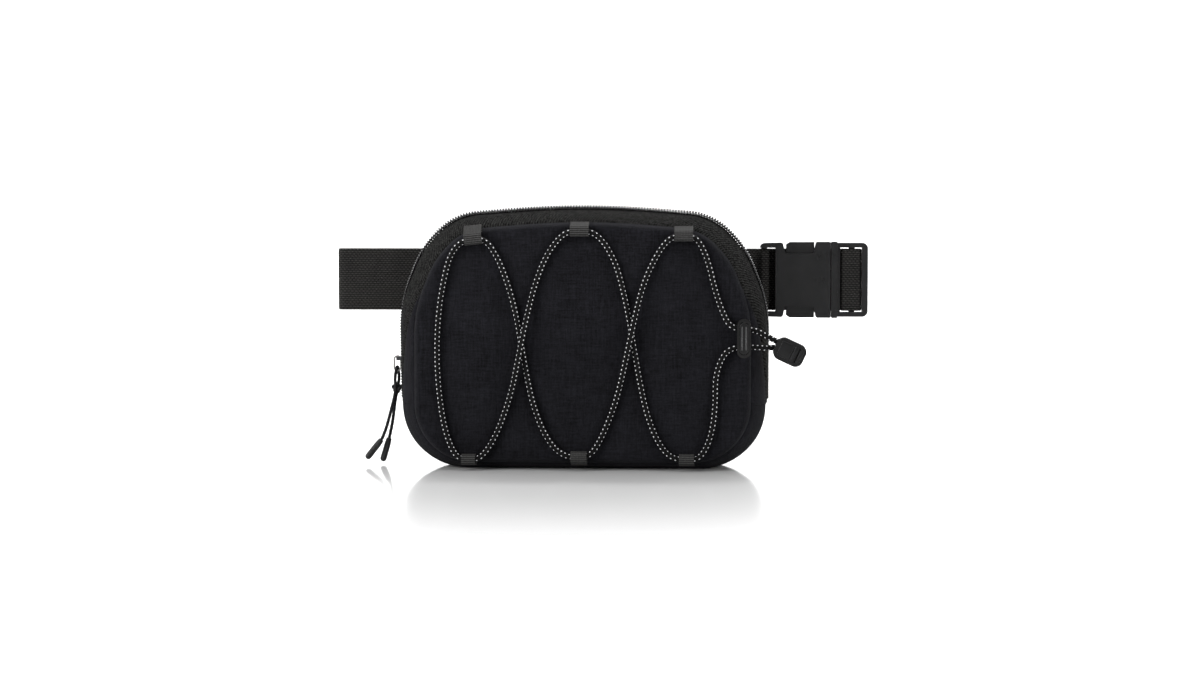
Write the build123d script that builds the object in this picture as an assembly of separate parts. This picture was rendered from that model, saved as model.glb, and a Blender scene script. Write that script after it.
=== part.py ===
"""Black waist bag with elastic cord lacing, arched zip, webbing belt and side release buckle.

Millimetres. +X is to the right seen from the front, +Y is towards the wearer, +Z is up.
The origin is at the bottom centre of the bag, on the surface that it stands on.
"""
from build123d import *
import math
import os

# ---- Bag body ----
HALF_W = 109.4          # half of the bag's width
HEIGHT = 156.2          # height of the bag
WALL = 1.2              # thickness of the shell fabric
SEAM_Y = -25.0          # plane of the front seam
PANEL_Y = -29.0         # face of the front panel
BACK_Y = 25.0           # plane of the back seam
FOLD_Z = 38.0           # where the zip ends and the front folds open
FOLD_GAP = 0.4          # clearance along the fold
# Right half of the outline as x, z and corner radius; the left half mirrors it.
CORNERS = [(109.4, 0.0, 38.0), (109.4, 99.0, 85.0), (96.1, 132.2, 60.0), (76.8, 151.8, 37.0)]
CROWN = (0.0, 158.0, 500.0)
# Cross-section of the gusset from front to back: y, and how far side, top and bottom draw in.
STATIONS = [(-25, 9.0, 9.0, 4.0), (-17, 2.5, 2.5, 0.4), (-9, 0, 0, 0), (9, 0, 0, 0), (25, 5.0, 4.0, 0)]
BEVEL = 8.0             # width of the front panel's sloped border

# ---- Zip ----
TRACK_SLOPE = -0.11     # y of the zip's centre line for each mm of height
TRACK_Z = 38.0          # height where that line is at y = 0
COIL_HALF = 3.2         # half of the width that the coil takes
COIL_GAP = 0.45         # half of the gap between the two rows of teeth
COIL_WALL = 1.6
TAPE = 10.0             # from the centre line to the rear tape's edge
WEDGE_TOP = 116.0       # height where the side wedge runs out
WEDGE_SLOPE = 0.218     # how much deeper the wedge gets for each mm below that height
SLIDER_Z = 60.0
SLIDER_H = 13.0

# ---- Cords, webbing and buckle ----
CORD_D = 3.6
PULL_D = 2.0
LOOP_W = 11.2
LOOP_Y = -32.8          # depth of the cord inside a loop
LOOP_T = 0.9
LOOP_BORE = 2.6
BELT_W = 38.0
BELT_T = 1.3
BELT_Z = 112.0
BUCKLE_X = 106.0        # left end of the buckle
BUCKLE_Y = 27.3         # middle plane of the buckle
BUCKLE_T = 11.0
LOCK_X = 95.95
LOCK_Z = 79.15
LOCK_HOLE_Z = 5.3       # each cord hole above and below the lock's middle
LOCK_HOLE_Y = -32.4

# Route of the elastic lacing, from one end in the cord end to the other.
LACING = [
    (116.0, -31.9, 76.9), (108.5, -32.0, 80.6), (102.5, -32.4, 84.3), (88.2, -32.4, 84.6),
    (82.8, -31.2, 95.5), (78.5, -31.0, 108.5), (75.6, -31.0, 121.5), (71.8, -31.3, 132.0),
    (67.0, -32.8, 139.2), (53.8, -32.8, 139.4), (46.9, -31.2, 132.2), (40.3, -31.0, 120.0),
    (35.4, -32.0, 107.0), (31.8, -35.2, 92.0), (27.5, -35.2, 72.0), (24.3, -32.0, 57.0),
    (20.4, -31.0, 41.5), (15.2, -31.0, 27.5), (9.8, -31.2, 15.8), (4.4, -32.8, 8.5),
    (-7.4, -32.8, 8.2), (-15.6, -31.2, 12.6), (-22.8, -31.0, 23.5), (-28.4, -31.0, 38.5),
    (-32.2, -31.0, 55.5), (-35.5, -31.0, 75.0), (-38.9, -31.0, 94.5), (-43.6, -31.0, 111.5),
    (-49.6, -31.2, 127.0), (-57.0, -32.8, 138.0), (-70.8, -32.8, 136.5), (-77.6, -31.2, 128.5),
    (-81.5, -31.0, 114.5), (-84.5, -31.0, 97.0), (-85.9, -31.0, 78.0), (-85.7, -31.0, 59.0),
    (-84.1, -31.0, 40.5), (-81.2, -31.0, 23.5), (-76.6, -31.4, 11.4), (-72.0, -32.8, 6.7),
    (-62.0, -32.8, 6.3), (-56.4, -31.4, 11.2), (-50.3, -31.0, 21.8), (-44.8, -31.0, 36.0),
    (-40.6, -32.0, 50.0), (-37.4, -35.2, 65.0), (-33.7, -35.2, 84.0), (-30.6, -32.0, 98.0),
    (-27.1, -31.0, 111.5), (-20.8, -31.0, 127.5), (-13.6, -31.3, 137.3), (-7.6, -32.8, 142.0),
    (5.6, -32.8, 142.2), (13.2, -31.2, 136.0), (20.3, -31.0, 123.0), (24.8, -31.0, 106.5),
    (28.2, -31.0, 90.0), (31.2, -31.0, 71.5), (34.6, -31.0, 52.0), (38.6, -31.0, 33.5),
    (44.8, -31.0, 18.0), (50.4, -31.4, 10.2), (57.0, -32.8, 7.0), (67.6, -32.8, 6.9),
    (72.8, -31.4, 11.2), (77.4, -31.0, 23.0), (79.3, -31.0, 39.5), (79.1, -31.0, 55.5),
    (82.6, -31.4, 67.0), (88.2, -32.4, 73.7), (102.5, -32.4, 73.9), (108.8, -31.2, 73.2),
    (115.0, -29.3, 73.6),
]
# Route of the zip's pull cord: up from one tip, round the ring, down to the other tip.
PULL_ROUTE = [
    (-122.9, -5.0, 15.7), (-120.3, -5.0, 21.6), (-118.2, -4.7, 29.5), (-115.9, -4.1, 38.5),
    (-114.2, -3.9, 46.5), (-114.9, -4.4, 52.5), (-113.7, -4.3, 59.7), (-113.3, -0.5, 59.7),
    (-112.6, -0.4, 52.5), (-113.7, -1.1, 46.5), (-115.3, -0.9, 38.0), (-116.3, -0.6, 29.5),
    (-117.5, -0.5, 22.6), (-118.9, -0.4, 16.3),
]


def save(node, *solids):
    """Write one named node as its own STEP file."""
    shape = solids[0] if len(solids) == 1 else Compound(children=list(solids))
    export_step(shape, f"parts/{node}.step")


def track_y(z):
    """Depth of the zip's centre line at height z."""
    return TRACK_SLOPE * (z - TRACK_Z)


# ---- Shared shapes ----
def outline(y, side, top, bottom):
    """Bag outline as a wire at depth y, drawn in at the sides, top and bottom."""
    across = (HALF_W - side) / HALF_W
    up = (HEIGHT - top - bottom) / HEIGHT
    full = CORNERS + [CROWN] + [(-x, z, r) for x, z, r in reversed(CORNERS)]
    points = [(x * across, y, bottom + z * up) for x, z, _ in full]
    radii = [r * min(across, up) for _, _, r in full]
    return FilletPolyline(*points, radius=radii, close=True).wire()


def envelope(inset):
    """Solid block inside the gusset's outer surface, drawn in all round by inset."""
    blocks = []
    for a, b in zip(STATIONS, STATIONS[1:]):
        ends = [outline(y, s + inset, t + inset, f + inset) for y, s, t, f in (a, b)]
        blocks.append(Solid.make_loft(ends, ruled=True))
    return blocks[0].fuse(*blocks[1:]).clean()


def gusset(out, inner):
    """Band of fabric round the bag, from inset out to inset inner."""
    hole = envelope(inner)
    for y in (SEAM_Y, BACK_Y):
        ends = [s for s in STATIONS if s[0] == y][0]
        wire = outline(y, *(v + inner for v in ends[1:]))
        hole = hole.fuse(Solid.extrude(Face(wire), Vector(0, math.copysign(1, y), 0)))
    return envelope(out).cut(hole)


def slab(points, x0=-200.0, x1=200.0):
    """Prism along X whose section is given as y, z points."""
    face = Face(Wire.make_polygon([(x0, y, z) for y, z in points]))
    return Solid.extrude(face, Vector(x1 - x0, 0, 0))


def block(x0, x1, y0, y1, z0, z1):
    """Axis-aligned box from its six limits."""
    return Pos((x0 + x1) / 2, (y0 + y1) / 2, (z0 + z1) / 2) * Box(x1 - x0, y1 - y0, z1 - z0)


def plate(y0, y1, side, top, bottom):
    """Flat sheet between two depths with the bag's outline."""
    return Solid.extrude(Face(outline(y0, side, top, bottom)), Vector(0, y1 - y0, 0))


def above(shape, z):
    """The piece of a shape that is above height z."""
    return solids_of(shape.intersect(block(-200, 200, -100, 100, z, 300)))


def below(shape, z):
    """The piece of a shape that is below height z."""
    return solids_of(shape.intersect(block(-200, 200, -100, 100, -50, z)))


def solids_of(shape):
    """One solid, or the largest when a cut leaves slivers."""
    found = shape.solids() if not isinstance(shape, Solid) else [shape]
    return max(found, key=lambda s: s.volume)


def rounded(points, radii):
    """Edges of a 2D path whose corners are arcs; a radius of 0 leaves the corner sharp."""
    edges = []
    cursor = points[0]
    for a, p, b, r in zip(points, points[1:], points[2:], radii):
        into = (p - a).normalized()
        away = (b - p).normalized()
        half = math.radians(into.get_angle(away)) / 2
        start = p - into * (r * math.tan(half))
        edges.append(Line(cursor, start))
        cursor = start
        if r > 0:
            cursor = p + away * (r * math.tan(half))
            middle = p + (away - into).normalized() * (r / math.cos(half) - r)
            edges.append(ThreePointArc(start, middle, cursor))
    return edges + [Line(cursor, points[-1])]


def ribbon(points, radii, thick):
    """Face of a strap seen edge on, thick wide, along 2D points with rounded corners."""
    dirs = [(Vector(*b) - Vector(*a)).normalized() for a, b in zip(points, points[1:])]
    turns = [a.X * b.Y - a.Y * b.X for a, b in zip(dirs, dirs[1:])]
    sides = []
    for hand in (1, -1):
        row = []
        for i, p in enumerate(points):
            before = dirs[max(i - 1, 0)]
            after = dirs[min(i, len(dirs) - 1)]
            n1 = Vector(-before.Y, before.X)
            n2 = Vector(-after.Y, after.X)
            row.append(Vector(*p) + (n1 + n2) * (hand * thick / 2 / (1 + n1.dot(n2))))
        bend = [max(r - math.copysign(thick / 2, hand * t), 0) for r, t in zip(radii, turns)]
        sides.append(row)
        sides.append(rounded(row, bend))
    caps = [Line(sides[0][0], sides[2][0]), Line(sides[0][-1], sides[2][-1])]
    return Face(Wire([e for part in sides[1] + sides[3] + caps for e in part.edges()]))


def cord_path(points, share=0.45):
    """Straight runs joined by tangent arcs as large as the runs allow, and their radii."""
    vectors = [Vector(*p) for p in points]
    radii = []
    for a, b, c in zip(vectors, vectors[1:], vectors[2:]):
        turn = math.radians((b - a).get_angle(c - b))
        radii.append(share * min((b - a).length, (c - b).length) / math.tan(turn / 2))
    return FilletPolyline(*points, radius=radii).wire(), radii


def cord(points, diameter, label):
    """Round cord along a route; prints its length, tightest bend and volume ratio."""
    path, radii = cord_path(points)
    start = Plane(origin=path @ 0, z_dir=path % 0)
    tube = sweep(start * Circle(diameter / 2), path=path).solids()[0]
    ideal = math.pi * diameter**2 / 4 * path.length
    print(f"{label}: {path.length:.1f} mm long, radii {min(radii):.1f} to {max(radii):.0f} mm,"
          f" volume {tube.volume / ideal:.4f} of section x length")
    return tube


def pill(width, height, y0, y1, radius):
    """Upright rounded bar seen from the front, between two depths, centred on the axis."""
    face = Plane.XZ * RectangleRounded(width, height, radius)
    return Pos(0, y0, 0) * extrude(face, amount=y1 - y0, dir=(0, 1, 0))


# ---- Bag shell ----
def front_panel():
    """Padded front as a lower piece on the bag and an upper piece that opens."""
    rim = outline(SEAM_Y, *STATIONS[0][1:])
    flat = outline(PANEL_Y, *(v + BEVEL for v in STATIONS[0][1:]))
    outer = Solid.make_loft([flat, rim], ruled=True)
    shell = outer.cut(outer.translate(Vector(0, WALL, 0)))
    save("front_panel_lower", below(shell, FOLD_Z - FOLD_GAP / 2))
    save("front_panel_upper", above(shell, FOLD_Z + FOLD_GAP / 2))
    inner = FOLD_Z + 1.0
    save("front_foam", above(plate(-27.6, -25.4, 21, 20, 20), inner))
    save("lining_front", above(plate(-25.2, -24.6, 22, 21, 20), inner))


def zip_and_gusset():
    """Side wedges, zip tapes, coils, rear strip and bottom of the gusset."""
    band = gusset(0, WALL)
    low = FOLD_Z + FOLD_GAP
    high = 170.0
    reach = 60.0
    wedge_foot = SEAM_Y + WEDGE_SLOPE * (WEDGE_TOP - low)
    line = lambda z, shift: (track_y(z) + shift, z)
    wedge = [(SEAM_Y - 1, low), (wedge_foot, low), (SEAM_Y, WEDGE_TOP), (SEAM_Y - 1, WEDGE_TOP)]
    save("side_wedge_left", solids_of(band.intersect(slab(wedge, -200, 0))))
    save("side_wedge_right", solids_of(band.intersect(slab(wedge, 0, 200))))
    tape = [(wedge_foot, low), line(low, -COIL_HALF), line(high, -COIL_HALF),
            (SEAM_Y - 1, high), (SEAM_Y - 1, WEDGE_TOP), (SEAM_Y, WEDGE_TOP)]
    save("zip_tape_front", solids_of(band.intersect(slab(tape))))
    rear = [line(FOLD_Z, COIL_HALF), line(FOLD_Z, TAPE), line(high, TAPE), line(high, COIL_HALF)]
    save("zip_tape_rear", solids_of(band.intersect(slab(rear))))
    strip = [line(FOLD_Z, TAPE), (reach, FOLD_Z), (reach, high), line(high, TAPE)]
    save("rear_gusset", solids_of(band.intersect(slab(strip))))
    foot = [(-reach, -10), (reach, -10), (reach, FOLD_Z), (-reach, FOLD_Z)]
    save("bottom_gusset", solids_of(band.intersect(slab(foot))))
    coil = gusset(0, COIL_WALL)
    start = FOLD_Z + 3.5
    for node, side in (("zip_coil_front", -1), ("zip_coil_rear", 1)):
        near, far = side * COIL_GAP, side * COIL_HALF
        row = [line(start, near), line(start, far), line(high, far), line(high, near)]
        save(node, solids_of(coil.intersect(slab(row))))
    for node, hand in (("zip_stop_left", -1), ("zip_stop_right", 1)):
        x = hand * (HALF_W - COIL_WALL / 2)
        save(node, block(x - 0.8, x + 0.8, -2.6, 2.6, FOLD_Z + 0.1, FOLD_Z + 2.9))


def back_and_lining():
    """Flat back panel, its foam, the lining and the slip pocket inside."""
    save("back_panel", plate(BACK_Y, BACK_Y + WALL, 5.0, 4.0, 0))
    save("back_foam", plate(22.8, 24.9, 9, 8, 4))
    save("lining_back", plate(22.0, 22.6, 9, 8, 4))
    liner = gusset(WALL + 0.2, WALL + 0.8)
    strip = slab([(9.2, -10), (21.8, -10), (21.8, 170), (9.2, 170)])
    save("lining_gusset", solids_of(liner.intersect(strip)))
    pocket_top, pocket_half = 82.0, 78.0
    pocket = block(-pocket_half, pocket_half, 20.6, 21.2, 12, pocket_top)
    save("inner_pocket", pocket)
    fold = ribbon([(20.2, pocket_top - 6), (20.2, pocket_top + 0.7), (21.6, pocket_top + 0.7),
                   (21.6, pocket_top - 6)], [0.5, 0.5], 0.5)
    binding = Plane.YZ * fold
    save("pocket_binding", extrude_x(binding, -pocket_half, pocket_half))


def extrude_x(face, x0, x1):
    """Extrude a face that lies in the YZ plane from x0 to x1."""
    return Solid.extrude(face.faces()[0].translate(Vector(x0, 0, 0)), Vector(x1 - x0, 0, 0))


# ---- Lacing ----
def cord_loop(node, x, z, seam_z, tilt=0.0, width=LOOP_W):
    """Folded tape that comes out of the seam and holds the cord in its bight."""
    up = 1 if seam_z > z else -1
    reach = LOOP_BORE + LOOP_T / 2
    front, back = LOOP_Y - reach, LOOP_Y + reach
    points = [(SEAM_Y - 2.9, seam_z + up * 0.3), (front, z + up * 2.5), (front, z - up * reach),
              (back, z - up * reach), (SEAM_Y - 1.8, seam_z - up * 0.3)]
    face = Plane.YZ * ribbon(points, [2.0, 2.4, 2.0], LOOP_T)
    strap = extrude_x(face, -width / 2, width / 2)
    save(node, Pos(x, 0, 0) * Pos(0, 0, z) * Rot(0, tilt, 0) * Pos(0, 0, -z) * strap)


def lacing():
    """Six loops, the elastic cord and the clip on its two ends."""
    cord_loop("cord_loop_top_left", -63.9, 137.25, 145.0, tilt=-6.1, width=10.6)
    cord_loop("cord_loop_top_centre", -1.0, 142.1, 147.0)
    cord_loop("cord_loop_top_right", 60.4, 139.3, 144.4)
    cord_loop("cord_loop_bottom_left", -67.0, 6.5, 3.4, width=8.4)
    cord_loop("cord_loop_bottom_centre", -1.5, 8.35, 3.6, width=9.6)
    cord_loop("cord_loop_bottom_right", 62.3, 6.95, 3.4, width=9.0)
    save("shock_cord", cord(LACING, CORD_D, "shock_cord"))
    cord_end()


def cord_end():
    """Two-part clip that joins the two ends of the lacing."""
    length, width, deep = 18.5, 13.8, 9.0
    body = RectangleRounded(length, width, 4.6)
    place = Pos(122.8, 0, 71.0) * Rot(0, 25, 0)
    y0, y1, split = -35.0, -35.0 + deep, -29.9
    for node, a, b in (("cord_end_shell", y0, split), ("cord_end_cap", split, y1)):
        half = Pos(0, a, 0) * extrude(Plane.XZ * body, amount=b - a, dir=(0, 1, 0))
        pocket = Pos(0, (y0 + y1) / 2, 0) * Pos(-length / 2, 0, 0) * Box(11.0, deep - 1.6, 9.4)
        save(node, solids_of(place * (half - pocket)))


def cord_lock():
    """Spring cord lock: body with two cord holes, a button pressed from the front, and spring."""
    front, rear = -37.6, -29.4
    width, height = 8.2, 23.3
    place = Pos(LOCK_X, 0, LOCK_Z)
    body = pill(width, height, front, rear, 4.05)
    for side in (-1, 1):
        hole = Rot(0, 90, 0) * Cylinder(2.4, 3 * width)
        body -= Pos(0, LOCK_HOLE_Y, side * LOCK_HOLE_Z) * hole
    body -= pill(6.0, 19.4, front - 1, -35.1, 2.9)
    shaft_y, stem_r = -31.0, 1.7
    body -= Pos(0, (front + shaft_y) / 2, 0) * (Rot(90, 0, 0) * Cylinder(2.1, shaft_y - front))
    button = pill(5.4, 18.8, -38.9, -36.7, 2.6)
    button += Pos(0, (-36.7 - 33.4) / 2, 0) * (Rot(90, 0, 0) * Cylinder(stem_r, 3.3))
    coil = Helix(pitch=0.75, height=1.5, radius=1.2, center=(0, 0, 0), direction=(0, 1, 0))
    wire = sweep(Plane(origin=coil @ 0, z_dir=coil % 0) * Circle(0.2), path=coil)
    save("cord_lock_body", solids_of(place * body))
    save("cord_lock_button", solids_of(place * button))
    save("cord_lock_spring", solids_of(place * (Pos(0, -32.95, 0) * wire)))


# ---- Zip slider, ring and pull cord ----
def slider():
    """Slider that clasps both rows of teeth, its crown, the ring and the pull cord."""
    y = track_y(SLIDER_Z)
    z0, z1 = SLIDER_Z - SLIDER_H / 2, SLIDER_Z + SLIDER_H / 2
    half = 4.6
    outer = block(-HALF_W - 1.1, -HALF_W - 0.3, y - half, y + half, z0, z1)
    inner_x = -HALF_W + COIL_WALL + 0.4
    inner = block(inner_x, inner_x + 1.1, y - half, y + half, z0, z1)
    post = block(-HALF_W - 0.4, inner_x + 0.1, y - 0.15, y + 0.15, SLIDER_Z - 2, SLIDER_Z + 2)
    save("zip_slider_body", outer + inner + post)
    pin = Pos(-113.0, y, 64.75) * (Rot(90, 0, 0) * Cylinder(0.6, 6.0))
    ears = [block(-113.7, -HALF_W - 1.1, y + a, y + a + 1.1, 63.7, 66.0) for a in (-3.9, 2.8)]
    save("zip_slider_crown", pin + ears[0] + ears[1])
    ring = Plane.XZ * (SlotOverall(9.9, 5.2, rotation=90) - SlotOverall(7.6, 2.9, rotation=90))
    ring = extrude(ring, amount=0.5, both=True)
    ring = fillet(ring.edges(), 0.3)
    save("zip_puller_ring", Pos(-113.4, y, 61.85) * ring)
    save("pull_cord", cord(PULL_ROUTE, PULL_D, "pull_cord"))
    knot = Pos(-113.9, -2.5, 46.5) * scale(Sphere(1.0), by=(3.9, 3.6, 3.6))
    save("pull_cord_knot", knot)
    tips = (("cord_tip_front", PULL_ROUTE[0], (-131.0, -5.4, 5.4)),
            ("cord_tip_back", PULL_ROUTE[-1], (-122.6, -0.2, 3.6)))
    for node, top, end in tips:
        axis = Vector(*end) - Vector(*top)
        frame = Plane(origin=top, z_dir=axis)
        rod = extrude(frame * Circle(1.95), amount=axis.length)
        save(node, solids_of(rod + Pos(*end) * Sphere(1.95)))


# ---- Belt and buckle ----
def strap_z(points, radii, thick, width):
    """Strap whose edge is drawn in X and Y, standing width tall about the belt's middle."""
    face = ribbon(points, radii, thick)
    base = face.translate(Vector(0, 0, BELT_Z - width / 2))
    return Solid.extrude(base, Vector(0, 0, width))


def belt():
    """One length of webbing: sewn to the back, round to the buckle, its spare folded behind."""
    route = [(-75, 26.9), (-154, 26.9), (-154, 35.5), (166.6, 35.5), (166.6, 24.6), (157.4, 24.6),
             (157.4, 33.8), (-88, 33.8), (-88, 32.1), (70, 32.1), (70, 30.4), (-80, 30.4)]
    bends = [3.8, 3.8, 1.5, 1.5, 1.5, 1.5, 0.72, 0.72, 0.72, 0.72]
    save("belt_webbing", strap_z(route, bends, BELT_T, BELT_W))
    run = sum(math.dist(a, b) for a, b in zip(route, route[1:]))
    print(f"belt_webbing: {run:.0f} mm of webbing")
    stub = [(76, 26.9), (105.0, 26.9), (107.4, 24.5), (111.3, 24.5), (111.3, 30.1), (104.4, 30.1),
            (101, 28.45), (76, 28.45)]
    save("buckle_webbing", strap_z(stub, [1.0, 0.9, 1.3, 1.3, 1.2, 1.2], BELT_T, BELT_W - 0.4))
    for node, x in (("belt_keeper_left", -46.0), ("belt_keeper_right", 46.0)):
        ring = block(x - 9, x + 9, 28.6, 37.3, BELT_Z - 20.6, BELT_Z + 20.6)
        ring -= block(x - 10, x + 10, 29.5, 36.4, BELT_Z - 19.5, BELT_Z + 19.5)
        save(node, ring)


def side_profile(points, radii, thick):
    """Buckle piece seen from the front, as x from the buckle's left end and z from its middle."""
    full = [(BUCKLE_X + x, z) for x, z in points]
    full += [(x, -z) for x, z in reversed(full)]
    wire = FilletPolyline(*[(x, BUCKLE_Y - thick / 2, BELT_Z + z) for x, z in full],
                          radius=radii + radii[::-1], close=True).wire()
    return Solid.extrude(Face(wire), Vector(0, thick, 0))


def buckle_box(x0, x1, thick, z0, z1):
    """Box in the buckle's own coordinates, centred on its middle plane."""
    return block(BUCKLE_X + x0, BUCKLE_X + x1, BUCKLE_Y - thick / 2, BUCKLE_Y + thick / 2,
                 BELT_Z + z0, BELT_Z + z1)


def buckle():
    """Side release buckle: female on the bag, male on the belt, and its two release arms."""
    cheek = [(0, 22.4), (13.9, 22.8), (15.6, 16.2), (33.0, 16.2), (34.3, 23.2), (43, 23.2)]
    female = side_profile(cheek, [3.0, 1.5, 1.5, 1.5, 1.2, 0.6], BUCKLE_T)
    female -= buckle_box(-1, 9.5, BUCKLE_T + 2, -19.5, 19.5)
    female -= buckle_box(12.2, 45, 6.8, -14.0, 14.0)
    female -= buckle_box(14.4, 45, 6.8, -20.8, 20.8)
    bar = Pos(BUCKLE_X + 2.6, BUCKLE_Y, BELT_Z) * Cylinder(1.9, 41.0)
    save("buckle_female", solids_of(female + bar))
    flange = side_profile([(43.4, 23.3), (47.3, 23.3)], [0.8, 0.8], BUCKLE_T)
    frame = side_profile([(47.3, 22.6), (65.8, 22.6)], [0.5, 3.5], 8.0)
    frame -= buckle_box(48.9, 62.2, 12, -19.7, 19.7)
    bar = buckle_box(54.2, 57.8, 3.6, -20.5, 20.5)
    tongue = buckle_box(19.5, 44, 5.4, -6.0, 6.0)
    save("buckle_male", solids_of(flange + frame + bar + tongue))
    for node, hand in (("release_arm_upper", 1), ("release_arm_lower", -1)):
        beam = [(16.0, 14.0), (16.0, 21.6), (18.2, 23.1), (33.2, 23.1), (33.2, 19.0), (43.2, 19.0),
                (43.2, 14.0)]
        if hand < 0:
            beam = [(x, -z) for x, z in beam]
        wire = FilletPolyline(*[(BUCKLE_X + x, BUCKLE_Y - 3.1, BELT_Z + z) for x, z in beam],
                              radius=[1.0, 1.0, 1.0, 0.4, 1.0, 0.2, 0.2], close=True).wire()
        save(node, Solid.extrude(Face(wire), Vector(0, 6.2, 0)))


os.makedirs("parts", exist_ok=True)
front_panel()
zip_and_gusset()
back_and_lining()
lacing()
cord_lock()
slider()
belt()
buckle()
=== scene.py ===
# %% [markdown]
# # A black waist bag, piece by piece
# The bag is a soft box: a padded front, a band of fabric round the side with a zip let into it,
# and a flat back. Elastic cord is laced over the front, and a webbing belt with a side release
# buckle goes behind. The hard frame comes ready made, in metres. Here every visible surface is
# built round it: cloth as surfaces of two parameters, cords as tubes along one smooth line, and
# moulded parts as bevelled copies of the frame's own shapes.

# %% Load the frame
import math
import bmesh
import bpy
import numpy as np
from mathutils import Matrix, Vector


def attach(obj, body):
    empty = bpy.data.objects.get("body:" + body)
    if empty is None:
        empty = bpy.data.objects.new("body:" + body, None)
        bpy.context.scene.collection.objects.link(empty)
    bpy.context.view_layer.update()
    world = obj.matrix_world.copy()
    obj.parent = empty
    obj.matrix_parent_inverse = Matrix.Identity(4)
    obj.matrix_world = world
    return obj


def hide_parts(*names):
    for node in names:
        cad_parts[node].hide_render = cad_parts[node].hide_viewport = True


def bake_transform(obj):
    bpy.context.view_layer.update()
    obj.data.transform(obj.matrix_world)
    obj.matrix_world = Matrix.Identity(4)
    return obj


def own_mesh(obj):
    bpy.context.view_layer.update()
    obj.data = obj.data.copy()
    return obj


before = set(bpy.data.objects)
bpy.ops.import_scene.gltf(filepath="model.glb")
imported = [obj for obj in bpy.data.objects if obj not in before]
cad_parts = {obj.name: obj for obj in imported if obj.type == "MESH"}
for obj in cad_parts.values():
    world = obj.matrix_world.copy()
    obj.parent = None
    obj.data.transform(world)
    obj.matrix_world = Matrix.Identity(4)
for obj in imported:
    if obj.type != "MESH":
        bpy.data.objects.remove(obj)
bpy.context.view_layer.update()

MM = 0.001
TAU = 2 * math.pi

# %% [markdown]
# ## Camera
# A long lens from far away keeps the front nearly flat. The camera is 1.4 m away, three degrees to
# the right and three above, which just shows the zip on top.

# %% Camera
AIM = Vector((0.0094, 0.0, 0.0776))
DISTANCE = 1.40
TURN, RISE = math.radians(3.0), math.radians(3.0)
camera = bpy.data.objects.new("camera", bpy.data.cameras.new("camera"))
bpy.context.scene.collection.objects.link(camera)
away = Vector((math.sin(TURN) * math.cos(RISE), -math.cos(TURN) * math.cos(RISE), math.sin(RISE)))
camera.location = AIM + away * DISTANCE
camera.rotation_euler = (-away).to_track_quat("-Z", "Y").to_euler()
camera.data.sensor_width = 36.0
camera.data.lens = 69.5
bpy.context.scene.camera = camera
print("camera at", [round(v, 3) for v in camera.location])

# %% [markdown]
# ## Meshes from arrays
# A surface is a grid of points worked out with numpy: rows run one way, columns the other, and one
# formula gives all points at once. The helper below joins neighbouring points with four-sided
# faces, adds a UV map in metres, and turns the faces outwards by the sign of the enclosed volume.


# %% Grid helper
def link(mesh, name):
    """Put a mesh in the scene as an object at the origin."""
    piece = bpy.data.objects.new(name, mesh)
    bpy.context.scene.collection.objects.link(piece)
    return piece


def grid(name, points, uv, wrap_rows=False, wrap_cols=False, ends=False, merge=1e-6):
    """Surface through points[row, col]. uv has one more row or column where the grid wraps.
    ends closes the first and last row, each with one many-sided face."""
    rows, cols = points.shape[:2]
    i = np.arange(rows if wrap_rows else rows - 1)[:, None]
    j = np.arange(cols if wrap_cols else cols - 1)[None, :]
    i2, j2 = (i + 1) % rows, (j + 1) % cols
    quads = np.stack([i * cols + j, i2 * cols + j, i2 * cols + j2, i * cols + j2], -1).reshape(-1, 4)
    faces = quads.tolist()
    if ends:
        faces += [list(range(cols)), list(range((rows - 1) * cols, rows * cols))[::-1]]
    mesh = bpy.data.meshes.new(name)
    mesh.from_pydata(points.reshape(-1, 3).tolist(), [], faces)
    layer = mesh.uv_layers.new(name="UVMap")
    at = np.stack([uv[i, j], uv[i + 1, j], uv[i + 1, j + 1], uv[i, j + 1]], 2).reshape(-1, 2)
    flat = np.zeros((len(mesh.loops), 2), np.float32)
    flat[: len(at)] = at
    layer.data.foreach_set("uv", flat.ravel())
    return tidy(link(mesh, name), merge)


def tidy(piece, merge=1e-6):
    """Merge points closer than merge, turn a closed mesh's faces outwards and shade it smooth."""
    bm = bmesh.new()
    bm.from_mesh(piece.data)
    if merge:
        bmesh.ops.remove_doubles(bm, verts=bm.verts, dist=merge)
        bmesh.ops.dissolve_degenerate(bm, edges=bm.edges, dist=merge)
    if all(len(e.link_faces) == 2 for e in bm.edges):
        bmesh.ops.recalc_face_normals(bm, faces=bm.faces)
        if bm.calc_volume(signed=True) < 0:
            bmesh.ops.reverse_faces(bm, faces=bm.faces)
    for face in bm.faces:
        face.smooth = True
    bm.to_mesh(piece.data)
    bm.free()
    return piece


def lengths(points):
    """Distance along a line of points, starting at 0."""
    step = np.linalg.norm(np.diff(points, axis=0), axis=1)
    return np.concatenate([[0.0], np.cumsum(step)])


def resample(points, step):
    """The same line with points about one step apart."""
    along = lengths(points)
    wanted = np.linspace(0, along[-1], max(int(along[-1] / step), 2) + 1)
    return np.stack([np.interp(wanted, along, points[:, k]) for k in range(points.shape[1])], -1)


# %% [markdown]
# ## Cords first
# A cord is one length of something flexible, so its line comes before its surface. The route's
# points are the control points of a NURBS spline of order 3, which passes smoothly inside every
# corner. The tube then follows points read from that spline. A frame is carried along the line
# without twisting, so the braid doesn't twist either.

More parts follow.
